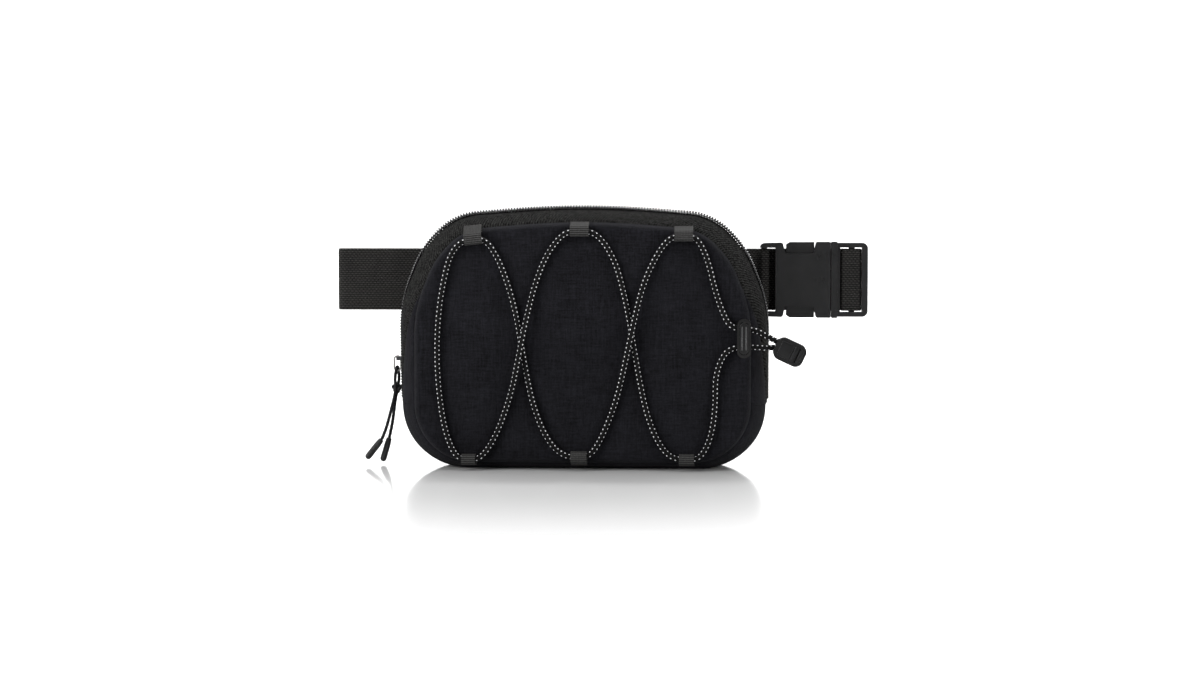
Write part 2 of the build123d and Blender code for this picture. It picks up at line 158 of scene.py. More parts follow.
# %% Routes of the cords
LACING = MM * np.array([
    (116.0, -31.9, 76.9), (108.5, -32.0, 80.6), (102.5, -32.4, 84.3), (88.2, -32.4, 84.6),
    (82.8, -31.2, 95.5), (78.5, -31.0, 108.5), (75.6, -31.0, 121.5), (71.8, -31.3, 132.0),
    (67.0, -32.8, 139.2), (53.8, -32.8, 139.4), (46.9, -31.2, 132.2), (40.3, -31.0, 120.0),
    (35.4, -32.0, 107.0), (31.8, -35.2, 92.0), (27.5, -35.2, 72.0), (24.3, -32.0, 57.0),
    (20.4, -31.0, 41.5), (15.2, -31.0, 27.5), (9.8, -31.2, 15.8), (4.4, -32.8, 8.5),
    (-7.4, -32.8, 8.2), (-15.6, -31.2, 12.6), (-22.8, -31.0, 23.5), (-28.4, -31.0, 38.5),
    (-32.2, -31.0, 55.5), (-35.5, -31.0, 75.0), (-38.9, -31.0, 94.5), (-43.6, -31.0, 111.5),
    (-49.6, -31.2, 127.0), (-57.0, -32.8, 138.0), (-70.8, -32.8, 136.5), (-77.6, -31.2, 128.5),
    (-81.5, -31.0, 114.5), (-84.5, -31.0, 97.0), (-85.9, -31.0, 78.0), (-85.7, -31.0, 59.0),
    (-84.1, -31.0, 40.5), (-81.2, -31.0, 23.5), (-76.6, -31.4, 11.4), (-72.0, -32.8, 6.7),
    (-62.0, -32.8, 6.3), (-56.4, -31.4, 11.2), (-50.3, -31.0, 21.8), (-44.8, -31.0, 36.0),
    (-40.6, -32.0, 50.0), (-37.4, -35.2, 65.0), (-33.7, -35.2, 84.0), (-30.6, -32.0, 98.0),
    (-27.1, -31.0, 111.5), (-20.8, -31.0, 127.5), (-13.6, -31.3, 137.3), (-7.6, -32.8, 142.0),
    (5.6, -32.8, 142.2), (13.2, -31.2, 136.0), (20.3, -31.0, 123.0), (24.8, -31.0, 106.5),
    (28.2, -31.0, 90.0), (31.2, -31.0, 71.5), (34.6, -31.0, 52.0), (38.6, -31.0, 33.5),
    (44.8, -31.0, 18.0), (50.4, -31.4, 10.2), (57.0, -32.8, 7.0), (67.6, -32.8, 6.9),
    (72.8, -31.4, 11.2), (77.4, -31.0, 23.0), (79.3, -31.0, 39.5), (79.1, -31.0, 55.5),
    (82.6, -31.4, 67.0), (88.2, -32.4, 73.7), (102.5, -32.4, 73.9), (108.8, -31.2, 73.2),
    (115.0, -29.3, 73.6),
])
PULL_ROUTE = MM * np.array([
    (-122.9, -5.0, 15.7), (-120.3, -5.0, 21.6), (-118.2, -4.7, 29.5), (-115.9, -4.1, 38.5),
    (-114.2, -3.9, 46.5), (-114.9, -4.4, 52.5), (-113.7, -4.3, 59.7), (-113.3, -0.5, 59.7),
    (-112.6, -0.4, 52.5), (-113.7, -1.1, 46.5), (-115.3, -0.9, 38.0), (-116.3, -0.6, 29.5),
    (-117.5, -0.5, 22.6), (-118.9, -0.4, 16.3),
])
CORD_D = 3.6 * MM
PULL_D = 2.0 * MM


def spline_line(points, fineness=12):
    """Points along the smooth NURBS line whose control points these are."""
    data = bpy.data.curves.new("route", "CURVE")
    data.dimensions = "3D"
    data.resolution_u = fineness
    spline = data.splines.new("NURBS")
    spline.points.add(len(points) - 1)
    spline.points.foreach_set("co", np.c_[points, np.ones(len(points))].ravel())
    spline.order_u = 3
    spline.use_endpoint_u = True
    holder = link(data, "route")
    mesh = bpy.data.meshes.new_from_object(holder)
    line = np.zeros(len(mesh.vertices) * 3)
    mesh.vertices.foreach_get("co", line)
    bpy.data.objects.remove(holder)
    bpy.data.meshes.remove(mesh)
    return line.reshape(-1, 3)


def unit(v):
    """Each vector divided by its own length."""
    return v / np.maximum(np.linalg.norm(v, axis=-1, keepdims=True), 1e-12)


def carried_frames(line, first=(0.0, -1.0, 0.0)):
    """Tangent, normal and binormal along a line; each normal is the last one made square to the line."""
    tangent = unit(np.gradient(line, axis=0))
    normal = np.zeros_like(line)
    last = np.array(first)
    for k, t in enumerate(tangent):
        last = last - t * (last @ t)
        last = last / np.linalg.norm(last)
        normal[k] = last
    return tangent, normal, np.cross(tangent, normal)


def tube(name, line, radius, sides=16, relief=None):
    """Round tube: point = line + radius * (cos a * normal + sin a * binormal), with its ends closed.
    relief(a, distance) adds to the radius."""
    _, normal, across = carried_frames(line)
    along = lengths(line)
    angle = np.arange(sides) * TAU / sides
    r = radius + (relief(angle[None, :], along[:, None]) if relief else 0)
    r = np.broadcast_to(r, (len(line), sides))[..., None]
    ring = np.cos(angle)[None, :, None] * normal[:, None] + np.sin(angle)[None, :, None] * across[:, None]
    uv = np.stack(np.broadcast_arrays(np.arange(sides + 1)[None, :] / sides, along[:, None]), -1)
    return grid(name, line[:, None] + ring * r, uv, wrap_cols=True, ends=True)


# %% The two cords
def braid(strands, pitch, height):
    """Relief of crossing strands: the higher of two sine waves that wind opposite ways."""
    def relief(angle, along):
        left = np.cos(strands * angle + TAU * along / pitch)
        right = np.cos(strands * angle - TAU * along / pitch)
        return height * np.maximum(left, right)
    return relief


lacing_line = resample(spline_line(LACING), 0.65 * MM)
pull_line = resample(spline_line(PULL_ROUTE), 0.4 * MM)
shock_cord = tube("shock_cord_braided", lacing_line, CORD_D / 2 - 0.05 * MM, 16,
                  braid(4, 5.2 * MM, 0.06 * MM))
pull_cord = tube("pull_cord_braided", pull_line, PULL_D / 2 - 0.04 * MM, 14, braid(3, 3.0 * MM, 0.05 * MM))

# %% [markdown]
# ## The bag's form
# Seen from the front, the outline is straight runs joined by arcs. From front to back it swells
# from the front seam, stays full over the zip and draws in a little at the back seam. So a point
# of the side band is the outline's point, drawn towards the middle by an amount that depends on
# its depth only. That one formula gives every piece of the band, and the pieces meet exactly.

# %% Outline and side band
HALF_W, HEIGHT = 109.4 * MM, 156.2 * MM
SEAM_Y, BACK_Y = -25.0 * MM, 25.0 * MM
FOLD_Z = 38.0 * MM
CORNERS = [(109.4, 0.0, 38.0), (109.4, 99.0, 85.0), (96.1, 132.2, 60.0), (76.8, 151.8, 37.0)]
CROWN = [(0.0, 158.0, 500.0)]
WALL = 1.1 * MM
WEDGE_TOP, WEDGE_SLOPE = 116 * MM, 0.218
TAPE, TRACK_GAP, TUCK = 10.0 * MM, 0.3 * MM, 0.6 * MM


def rounded(corners, start=None, arc_points=20):
    """Line through 2D corners (x, y, radius) with each corner replaced by its arc:
    centre - normal * r * cos a + heading * r * sin a, for a from 0 to the turn."""
    p = np.array(corners, float)
    before = np.roll(p, 1, 0) if start is None else np.r_[p[:1], p[:-1]]
    after = np.roll(p, -1, 0) if start is None else np.r_[p[1:], p[-1:]]
    middle = slice(None) if start is None else slice(1, -1)
    into = unit(p[middle, :2] - before[middle, :2])
    out = unit(after[middle, :2] - p[middle, :2])
    cross = into[:, 0] * out[:, 1] - into[:, 1] * out[:, 0]
    turn = np.arctan2(np.abs(cross), (into * out).sum(1))
    inward = np.stack([-into[:, 1], into[:, 0]], -1) * np.sign(cross)[:, None]
    r = p[middle, 2]
    first = p[middle, :2] - into * (r * np.tan(turn / 2))[:, None]
    centre = first + inward * r[:, None]
    a = turn[:, None] * np.linspace(0, 1, arc_points)[None, :]
    arcs = (centre[:, None] - inward[:, None] * (r[:, None] * np.cos(a))[..., None]
            + into[:, None] * (r[:, None] * np.sin(a))[..., None]).reshape(-1, 2)
    if start is not None:
        arcs = np.r_[p[:1, :2], arcs, p[-1:, :2]]
    keep = np.r_[True, np.linalg.norm(np.diff(arcs, axis=0), axis=1) > 1e-7]
    return arcs[keep]


mirrored = [(-x, z, r) for x, z, r in reversed(CORNERS)]
loop = rounded(CORNERS + CROWN + mirrored) * MM
loop = np.r_[[(0.0, 0.0)], loop, [(0.0, 0.0)]]
AROUND = 480
rim = resample(loop, lengths(loop)[-1] / AROUND)[:AROUND]
rim_out = unit(np.stack([np.gradient(rim[:, 1]), -np.gradient(rim[:, 0])], -1))
rim_out[0] = (0.0, -1.0)
rim_s = lengths(rim)
RIM_LENGTH = lengths(loop)[-1]
print(f"outline {RIM_LENGTH:.3f} m round, {len(rim)} points")


def draw_in(y):
    """How far side, top and bottom draw in at depth y: powers of the distance from the full middle."""
    front = np.clip((-9 * MM - y) / (16 * MM), 0, 1.5)
    back = np.clip(y / (25 * MM), 0, 1.2)
    side = 9 * MM * front**1.7 + 5 * MM * back**2
    top = 9 * MM * front**1.6 + 4 * MM * back**1.6
    return side, top, 4 * MM * front**2.6


def shell(x, z, y, inset=0.0):
    """Point of the side band: the outline's x and z scaled to the half width and height at depth y."""
    side, top, bottom = (v + inset for v in draw_in(y))
    across = (HALF_W - side) / HALF_W
    up = (HEIGHT - top - bottom) / HEIGHT
    return np.stack(np.broadcast_arrays(x * across, y, bottom + z * up), -1)


def track_y(z):
    """Depth of the zip's centre line at height z."""
    return -0.11 * (z - FOLD_Z)


def wedge_edge(z):
    """Depth of a side wedge's back edge at height z: the front seam above the wedge's top, and
    further back in a straight line below it."""
    return np.clip(SEAM_Y + WEDGE_SLOPE * (WEDGE_TOP - z), SEAM_Y, None)


def ripple(a, b, seed, size):
    """Smooth unevenness: a sum of six sine waves with fixed random directions and phases."""
    rng = np.random.default_rng(seed)
    total = 0.0
    for _ in range(6):
        ka, kb, phase = rng.normal(0, TAU / size), rng.normal(0, TAU / size), rng.uniform(0, TAU)
        total = total + np.sin(a * ka + b * kb + phase)
    return total / 6


# %% [markdown]
# ## Pieces of the band
# Each piece is a grid: one way along the outline, the other from its front edge to its back edge.
# Near both edges the cloth dives into the seam, and between them it crowns a little. Solidify
# gives the cloth its thickness, inwards.


# %% Band pieces
def strip(name, pick, near, far, cols=10, crown=0.35, groove=0.55, inset=0.0, seed=1):
    """Band piece over the outline points in pick, from depth near to depth far."""
    x, z = rim[pick, 0][:, None], rim[pick, 1][:, None]
    share = 0.5 - 0.5 * np.cos(np.linspace(0, math.pi, cols + 1))[None, :]
    y = near[:, None] + (far - near)[:, None] * share
    width = (far - near)[:, None]
    edge = np.minimum(share, 1 - share) * width
    lift = crown * MM * np.sin(math.pi * share) * np.clip(width / (8 * MM), 0, 1)
    lift = lift - groove * MM * np.exp(-((edge / (0.9 * MM)) ** 2))
    s = rim_s[pick][:, None]
    lift = lift + 0.22 * MM * ripple(s, y, seed, 26 * MM) * np.clip(edge / (4 * MM), 0, 1)
    points = shell(x, z, y, inset)
    points[..., 0] += rim_out[pick, 0][:, None] * lift
    points[..., 2] += rim_out[pick, 1][:, None] * lift
    uv = np.stack(np.broadcast_arrays(s, y), -1)
    piece = grid(name, points, uv)
    return thicken(piece, WALL, (0.0, 0.0, HEIGHT / 2))


def thicken(piece, thick, middle):
    """Turn an open sheet's faces away from the middle, then give it thickness inwards."""
    co = np.zeros(len(piece.data.polygons) * 3)
    nor = co.copy()
    piece.data.polygons.foreach_get("center", co)
    piece.data.polygons.foreach_get("normal", nor)
    outward = ((co.reshape(-1, 3) - np.array(middle)) * nor.reshape(-1, 3)).sum()
    if outward < 0:
        piece.data.flip_normals()
    wall = piece.modifiers.new("thickness", "SOLIDIFY")
    wall.thickness = thick
    wall.offset = -1.0
    wall.use_even_offset = False
    return piece


high = np.flatnonzero(rim[:, 1] > FOLD_Z + 0.2 * MM)
low = np.r_[np.arange(high[-1], AROUND), np.arange(0, high[0] + 1)]
zh = rim[high, 1]
full = np.ones(len(high))
coil_y = track_y(zh)
tape_front = strip("zip_tape_front_cloth", high, wedge_edge(zh), coil_y - TRACK_GAP, 22, crown=0.9,
                   groove=1.9, seed=3)
tape_rear = strip("zip_tape_rear_cloth", high, coil_y + TRACK_GAP, coil_y + TAPE, 14, crown=0.2, groove=0.9,
                  inset=TUCK, seed=4)
rear_gusset = strip("rear_gusset_cloth", high, coil_y + TAPE, BACK_Y * full, 20, crown=0.5, groove=0.8,
                    inset=TUCK, seed=5)
side_wedges = []
for hand, word in ((-1, "left"), (1, "right")):
    side = high[(rim[high, 0] * hand > 0) & (rim[high, 1] < WEDGE_TOP)]
    side_wedges.append(strip(f"side_wedge_{word}_cloth", side, np.full(len(side), SEAM_Y),
                             wedge_edge(rim[side, 1]), 12, groove=1.3, seed=6))
low_y = np.full(len(low), SEAM_Y)
bottom_gusset = strip("bottom_gusset_cloth", low, low_y, -low_y, 36, crown=0.0, groove=1.2, seed=7)
print("band pieces:", len(high), "points over the top,", len(low), "under")

# %% [markdown]
# ## Front and back panels
# A panel is a disc with the outline's shape. One way goes round the outline, the other from the
# edge to the middle, closely spaced near the edge where the cloth turns. The front is cloth over
# foam, so it rises quickly from its seam, is pressed down along every cord and swells a little
# between them. The swelling falls off with the distance from the nearest point of the lacing.


# %% Panels
def disc(name, y, inset, relief, rings=34, crowd=1.7, roll=0.0):
    """Panel at depth y: point = edge + (middle - edge) * w**crowd, then moved in y by relief(distance
    from the edge, x, z). roll swells it outwards just inside the edge, as a half sine."""
    edge = shell(rim[:, 0], rim[:, 1], np.full(AROUND, y), inset)[:, ::2]
    middle = np.array([0.0, HEIGHT * 0.5])
    w = np.linspace(0, 1, rings + 1)[:, None, None] ** crowd
    flat = edge[None] + (middle - edge[None]) * w
    from_edge = w[..., 0] * ((edge - middle) * rim_out).sum(1)[None]
    depth = y + relief(from_edge, flat[..., 0], flat[..., 1])
    swell = roll * np.sin(math.pi * np.clip(from_edge / (7 * MM), 0, 1))
    flat = flat + rim_out[None] * swell[..., None]
    points = np.stack([flat[..., 0], depth, flat[..., 1]], -1)
    return grid(name, points, np.concatenate([flat, flat[:, :1]], 1), wrap_cols=True, merge=1e-5)


def near_cord(x, z):
    """Distance in the panel's plane from each point to the nearest point of the lacing."""
    line = lacing_line[::3][:, ::2]
    spots = np.stack([x.ravel(), z.ravel()], -1)
    found = [np.sqrt(((part[:, None] - line[None]) ** 2).sum(-1).min(1))
             for part in np.array_split(spots, 40)]
    return np.concatenate(found).reshape(x.shape)


def padded_front(d, x, z):
    """Rise from the seam, dent under the cord, swell between cords, and slight unevenness."""
    by_loop = sum(np.exp(-(((x - at * MM) / (7.0 * MM)) ** 4)) for at in (-65, -1, 61))
    slope = (5.2 + 3.3 * np.clip(by_loop, 0, 1)) * MM
    rise = (5.45 * (1 - np.clip(1 - d / slope, 0, 1) ** 2.6) - 1.3) * MM
    inside = np.clip((d - 6 * MM) / (14 * MM), 0, 1)
    gap = near_cord(x, z)
    dent = 0.45 * MM * np.exp(-((gap / (2.6 * MM)) ** 2)) * np.clip(d / (8 * MM), 0, 1)
    swell = 0.9 * MM * (1 - np.exp(-((gap / (11 * MM)) ** 2))) * inside
    return -rise + dent - swell - 0.22 * MM * ripple(x, z, 11, 46 * MM) * inside


front_panel = disc("front_panel_padded", SEAM_Y, 0.0, padded_front, rings=48, roll=0.8 * MM)
thicken(front_panel, WALL, (0, 0, HEIGHT / 2))
back_panel = disc("back_panel_cloth", BACK_Y, 0.0, lambda d, x, z: (
    1.1 * MM * (1 - np.clip(1 - d / (3 * MM), 0, 1) ** 2) - 0.12 * MM * (1 + ripple(x, z, 12, 40 * MM))))
thicken(back_panel, WALL, (0, 0, HEIGHT / 2))
print("front and back panels:", len(front_panel.data.vertices), "points each")

# %% [markdown]
# ## Inside
# The zip opens on a lined main pocket. Foam stiffens front and back, and a flat slip pocket with a
# bound top edge is sewn to the back lining. They are the same disc and strip again, set further in.


# %% Foam, lining and slip pocket
def slack(amount, seed, size):
    """Relief of loose cloth: only smooth unevenness, none at the edge."""
    return lambda d, x, z: amount * ripple(x, z, seed, size) * np.clip(d / (10 * MM), 0, 1)


def sheet_part(name, y, inset, thick, amount, seed, floor=None):
    """Inner sheet at depth y; with a floor height it keeps only what is above that height."""
    piece = disc(name, y, inset, slack(amount, seed, 50 * MM), rings=18, crowd=1.2)
    if floor is not None:
        bm = bmesh.new()
        bm.from_mesh(piece.data)
        everything = bm.verts[:] + bm.edges[:] + bm.faces[:]
        bmesh.ops.bisect_plane(bm, geom=everything, plane_co=(0, 0, floor), plane_no=(0, 0, -1),
                               clear_outer=True)
        bm.to_mesh(piece.data)
        bm.free()
    return thicken(piece, thick, (0, 0, HEIGHT / 2))


front_foam = sheet_part("front_foam_sheet", -27.5 * MM, 17 * MM, 2.0 * MM, 0.0, 21, FOLD_Z + 1 * MM)
front_lining = sheet_part("front_lining_cloth", -25.2 * MM, 17 * MM, 0.5 * MM, 0.1 * MM, 22,
                          FOLD_Z + 1 * MM)
back_foam = sheet_part("back_foam_sheet", 24.8 * MM, 4 * MM, 1.9 * MM, 0.0, 23)
back_lining = sheet_part("back_lining_cloth", 22.5 * MM, 4 * MM, 0.4 * MM, 0.1 * MM, 24)
everywhere = np.r_[np.arange(AROUND), 0]
gusset_lining = strip("gusset_lining_cloth", everywhere, np.full(AROUND + 1, 9.2 * MM),
                      np.full(AROUND + 1, 21.8 * MM), 10, crown=0.0, groove=0.0, inset=1.5 * MM, seed=25)
gusset_lining.modifiers["thickness"].thickness = 0.5 * MM
POCKET_LOW, POCKET_TOP, POCKET_HALF = 12.0 * MM, 82.0 * MM, 78.0 * MM
px, pz = np.meshgrid(np.linspace(-POCKET_HALF, POCKET_HALF, 61), np.linspace(POCKET_LOW, POCKET_TOP, 29))
sag = 0.22 * MM * np.cos(px * 70) * np.sin(math.pi * (pz - POCKET_LOW) / (POCKET_TOP - POCKET_LOW))
pocket = grid("slip_pocket_cloth", np.stack([px, 20.8 * MM + sag, pz], -1), np.stack([px, pz], -1))
thicken(pocket, 0.4 * MM, (0, 30 * MM, 50 * MM))
inner = [front_foam, front_lining, back_foam, back_lining, gusset_lining, pocket]
print("inner pieces:", len(inner))


# %% [markdown]
# ## Tapes and webbing
# A strap is a flat section carried along a line that is drawn edge on. The section is a long oval
# with slightly thicker edges, the selvedge, and it is as wide as the strap. The same function
# makes cord loops, belt, keepers and binding.


# %% Straps
def strap(name, line, across, width, thick, selvedge=0.12, sides=22, closed=False):
    """Strap along a 3D line, its width in the direction across. Section: half width * signed root
    of cos, half thickness * signed root of sin, thinner between the two edges."""
    ahead, behind = (np.roll(line, -1, 0), np.roll(line, 1, 0))
    tangent = unit(ahead - behind if closed else np.gradient(line, axis=0))
    w = np.array(across, float)
    normal = np.cross(tangent, w)
    angle = np.arange(sides) * TAU / sides
    cx = np.sign(np.cos(angle)) * np.abs(np.cos(angle)) ** 0.35
    cy = np.sign(np.sin(angle)) * np.abs(np.sin(angle)) ** 0.45
    cy = cy * (1 - selvedge + selvedge * 1.6 * np.abs(cx) ** 6)
    sideways = w * (cx * width / 2)[None, :, None]
    points = line[:, None] + sideways + normal[:, None] * (cy * thick / 2)[:, None]
    s = lengths(np.r_[line, line[:1]] if closed else line)
    around = np.r_[cx, cx[:1]] * width / 2
    uv = np.stack(np.broadcast_arrays(around[None, :], s[:, None]), -1)
    return grid(name, points, uv, wrap_rows=closed, wrap_cols=True, ends=not closed)


def edge_on(corners, step, plane="yz", at=0.0, arc_points=10):
    """A strap's line from 2D corners (a, b, radius) in mm, in the YZ plane at x or the XY plane at z."""
    path = resample(rounded(corners, start=True, arc_points=arc_points) * MM, step * MM)
    third = np.full(len(path), at)
    return np.c_[third, path] if plane == "yz" else np.c_[path, third]


LOOP_Y, LOOP_T, LOOP_BORE = -32.8, 0.9, 2.6
LOOPS = {
    "top_left": (-63.9, 137.25, 145.0, -6.1, 10.6), "top_centre": (-1.0, 142.1, 147.0, 0, 11.2),
    "top_right": (60.4, 139.3, 144.4, 0, 11.2), "bottom_left": (-67.0, 6.5, 3.4, 0, 8.4),
    "bottom_centre": (-1.5, 8.35, 3.6, 0, 9.6), "bottom_right": (62.3, 6.95, 3.4, 0, 9.0),
}


def cord_loop(word, x, z, seam_z, tilt, width):
    """Tape folded round the cord: both ends in the seam, a round bight below or above the cord."""
    up = 1 if seam_z > z else -1
    reach = LOOP_BORE + LOOP_T / 2
    front, back = LOOP_Y - reach, LOOP_Y + reach
    corners = [(-27.7, seam_z + up * 0.3, 0), (front, z + up * 2.5, 2.0), (front, z - up * reach, 2.4),
               (back, z - up * reach, 2.0), (-26.6, seam_z - up * 0.3, 0)]
    line = edge_on(corners, 0.5)
    turn = math.radians(tilt)
    line[:, 0] = x * MM + (line[:, 2] - z * MM) * math.sin(turn)
    line[:, 2] = z * MM + (line[:, 2] - z * MM) * math.cos(turn)
    return strap(f"cord_loop_{word}_tape", line, (math.cos(turn), 0, -math.sin(turn)), width * MM,
                 LOOP_T * MM, selvedge=0.3)


loops = {word: cord_loop(word, *sizes) for word, sizes in LOOPS.items()}
BELT_Z, BELT_W, BELT_T = 112.0 * MM, 38.0 * MM, 1.3 * MM
BELT_ROUTE = [
    (-75, 26.9, 0), (-154, 26.9, 3.8), (-154, 35.5, 3.8), (167.4, 35.5, 1.5), (167.4, 24.6, 1.5),
    (155.8, 24.6, 1.5), (155.8, 33.8, 1.5), (-88, 33.8, 0.72), (-88, 32.1, 0.72),
    (70, 32.1, 0.72), (70, 30.4, 0.72), (-80, 30.4, 0),
]
STUB_ROUTE = [
    (76, 26.9, 0), (105.0, 26.9, 1.0), (107.4, 24.5, 0.9), (111.3, 24.5, 1.3),
    (111.3, 30.1, 1.3), (104.4, 30.1, 1.2), (101, 28.45, 1.2), (76, 28.45, 0),
]
belt = strap("belt_webbing_woven", edge_on(BELT_ROUTE, 0.6, "xy", BELT_Z, 8), (0, 0, 1),
             BELT_W, BELT_T, 0.15)
stub = strap("buckle_webbing_woven", edge_on(STUB_ROUTE, 0.5, "xy", BELT_Z, 8), (0, 0, 1),
             BELT_W - 0.4 * MM, BELT_T, 0.15)


def keeper(name, x):
    """Elastic ring round the belt: a strap along a closed rounded oblong."""
    near, far, half, middle, bend = 29.05, 36.85, 20.05, BELT_Z / MM, 1.6
    corners = [(near, middle - half, bend), (far, middle - half, bend),
               (far, middle + half, bend), (near, middle + half, bend)]
    ring = rounded(corners, arc_points=8) * MM
    ring = resample(np.r_[ring, ring[:1]], 0.8 * MM)[:-1]
    line = np.c_[np.full(len(ring), x), ring]
    return strap(name, line, (1, 0, 0), 18 * MM, 0.95 * MM, 0.1, closed=True)


keepers = [keeper("belt_keeper_left_elastic", -46 * MM), keeper("belt_keeper_right_elastic", 46 * MM)]
fold = edge_on([(20.1, 76.5, 0), (20.1, 82.9, 0.7), (21.5, 82.9, 0.7), (21.5, 76.5, 0)], 0.4)
binding = strap("pocket_binding_tape", fold, (1, 0, 0), 2 * POCKET_HALF, 0.45 * MM, 0.0)
print("straps:", len(loops), "loops, belt, stub, keepers and binding")

# %% [markdown]
# ## Small things in rows
# Zip teeth and stitches are hundreds of equal little shapes. One small bead is worked out once,
# then copied to every place with one array product, along x side + y across + z out.


# %% Rows of beads
def bead(half, rings=5, around=8, power=0.75):
    """Closed rounded rod with half sizes (along, across, out): x = -cos a, radius = sin(a)**power."""
    a = np.linspace(0, math.pi, rings + 2)[1:-1]
    b = np.arange(around) * TAU / around
    r = np.sin(a) ** power
    body = np.stack([np.repeat(-np.cos(a), around), np.outer(r, np.cos(b)).ravel(),
                     np.outer(r, np.sin(b)).ravel()], -1)
    points = np.r_[body, [(-1, 0, 0)], [(1, 0, 0)]] * np.array(half)
    i, j = np.meshgrid(np.arange(rings - 1), np.arange(around), indexing="ij")
    k = (j + 1) % around
    quads = np.stack([i * around + j, i * around + k, (i + 1) * around + k, (i + 1) * around + j], -1)
    j = np.arange(around)
    k = (j + 1) % around
    first, last = np.full(around, rings * around), np.full(around, rings * around + 1)
    caps = np.r_[np.stack([first, k, j], -1),
                 np.stack([last, (rings - 1) * around + j, (rings - 1) * around + k], -1)]
    return points, [f.tolist() for f in quads.reshape(-1, 4)], [f.tolist() for f in caps]


def row_of(name, shape, places, along, out):
    """One mesh of copies: copy = place + x * along + y * (out x along) + z * out."""
    points, quads, caps = shape
    along = unit(along)
    across = unit(np.cross(out, along))
    out = np.cross(along, across)
    axes = np.stack([along, across, out], 1)
    verts = (places[:, None] + np.einsum("vk,nkc->nvc", points, axes)).reshape(-1, 3)
    shift = np.arange(len(places)) * len(points)
    faces = [(np.array(f)[None] + shift[:, None, None]).reshape(-1, len(f[0])).tolist()
             for f in (quads, caps)]
    mesh = bpy.data.meshes.new(name)
    mesh.from_pydata(verts.tolist(), [], faces[0] + faces[1])
    return tidy(link(mesh, name), merge=0)


def over_the_top(depth_of, spacing, lift, lowest=FOLD_Z, phase=0.0):
    """Evenly spaced places over the bag's top at depth depth_of(z), lifted outwards, and their
    frames."""
    fine = resample(np.c_[rim[high], rim_out[high]], 0.1 * MM)
    fine = fine[fine[:, 1] > lowest]
    s = lengths(fine[:, :2])
    wanted = np.arange(phase * spacing, s[-1], spacing)
    at = np.stack([np.interp(wanted, s, fine[:, k]) for k in range(4)], -1)
    out = unit(np.c_[at[:, 2], np.zeros(len(at)), at[:, 3]])
    places = shell(at[:, 0], at[:, 1], depth_of(at[:, 1])) + out * lift
    return places, np.gradient(places, axis=0), out


def teeth(name, hand, phase):
    """Nylon coil: each turn is a bead lying across the track, the two rows meshing at the middle."""
    places, along, out = over_the_top(lambda z: track_y(z) + hand * 1.55 * MM, 1.7 * MM, 0.9 * MM,
                                      FOLD_Z + 3.5 * MM, phase)
    across = np.broadcast_to([0.0, hand, 0.0], places.shape)
    across = across + 0.18 * unit(along)
    return row_of(name, bead((1.8 * MM, 0.64 * MM, 1.1 * MM), 5, 8, 0.45), places, across, out)


def stitches(name, places, along, out, length=2.1, width=0.5):
    """A row of thread stitches, each a flat bead along the seam."""
    return row_of(name, bead((length / 2 * MM, width / 2 * MM, 0.2 * MM), 3, 6, 0.6), places, along, out)


coil_front = teeth("zip_coil_front_teeth", -1, 0.0)
coil_rear = teeth("zip_coil_rear_teeth", 1, 0.5)
seam_rows = {
    "stitching_tape_front": (lambda z: np.maximum(track_y(z) - 6.2 * MM, SEAM_Y + 2 * MM), "fold"),
    "stitching_tape_rear": (lambda z: track_y(z) + 8.6 * MM, "bag"),
    "stitching_rear_strip": (lambda z: track_y(z) + 12.2 * MM, "bag"),
    "stitching_back_seam": (lambda z: np.full(len(z), BACK_Y - 3.0 * MM), "bag"),
}
rows = {name: (stitches(name, *over_the_top(where, 3.0 * MM, 0.12 * MM, FOLD_Z + 1 * MM)), body)
        for name, (where, body) in seam_rows.items()}
print("tooth faces:", len(coil_front.data.polygons) + len(coil_rear.data.polygons),
      "and stitch faces:", sum(len(row.data.polygons) for row, _ in rows.values()))

# %% [markdown]
# ## Moulded parts
# Buckle, cord lock, cord end and slider come out of a mould, so every edge has a small round that
# catches the light. The frame's shape is copied, its doubled points merged, its flat triangles
# joined into whole faces, and a Bevel rounds the edges.


# %% Moulded copies
def moulded(node, radius, name=None, segments=3, angle=30):
    """Bevelled copy of a frame node, which stands for it."""
    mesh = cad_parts[node].data.copy()
    mesh.materials.clear()
    piece = link(mesh, name or f"{node}_moulded")
    bm = bmesh.new()
    bm.from_mesh(mesh)
    bmesh.ops.remove_doubles(bm, verts=bm.verts, dist=2e-6)
    bmesh.ops.dissolve_limit(bm, angle_limit=math.radians(1.0), verts=bm.verts, edges=bm.edges)
    for face in bm.faces:
        face.smooth = True
    for edge in bm.edges:
        edge.smooth = len(edge.link_faces) == 2 and edge.calc_face_angle(0) < math.radians(angle)
    bm.to_mesh(mesh)
    bm.free()
    bevel = piece.modifiers.new("edges", "BEVEL")
    bevel.width = radius * MM
    bevel.segments = segments
    bevel.limit_method = "ANGLE"
    bevel.angle_limit = math.radians(angle)
    bevel.use_clamp_overlap = True
    bevel.harden_normals = False
    evened = piece.modifiers.new("shading", "WEIGHTED_NORMAL")
    evened.keep_sharp = False
    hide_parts(node)
    return piece


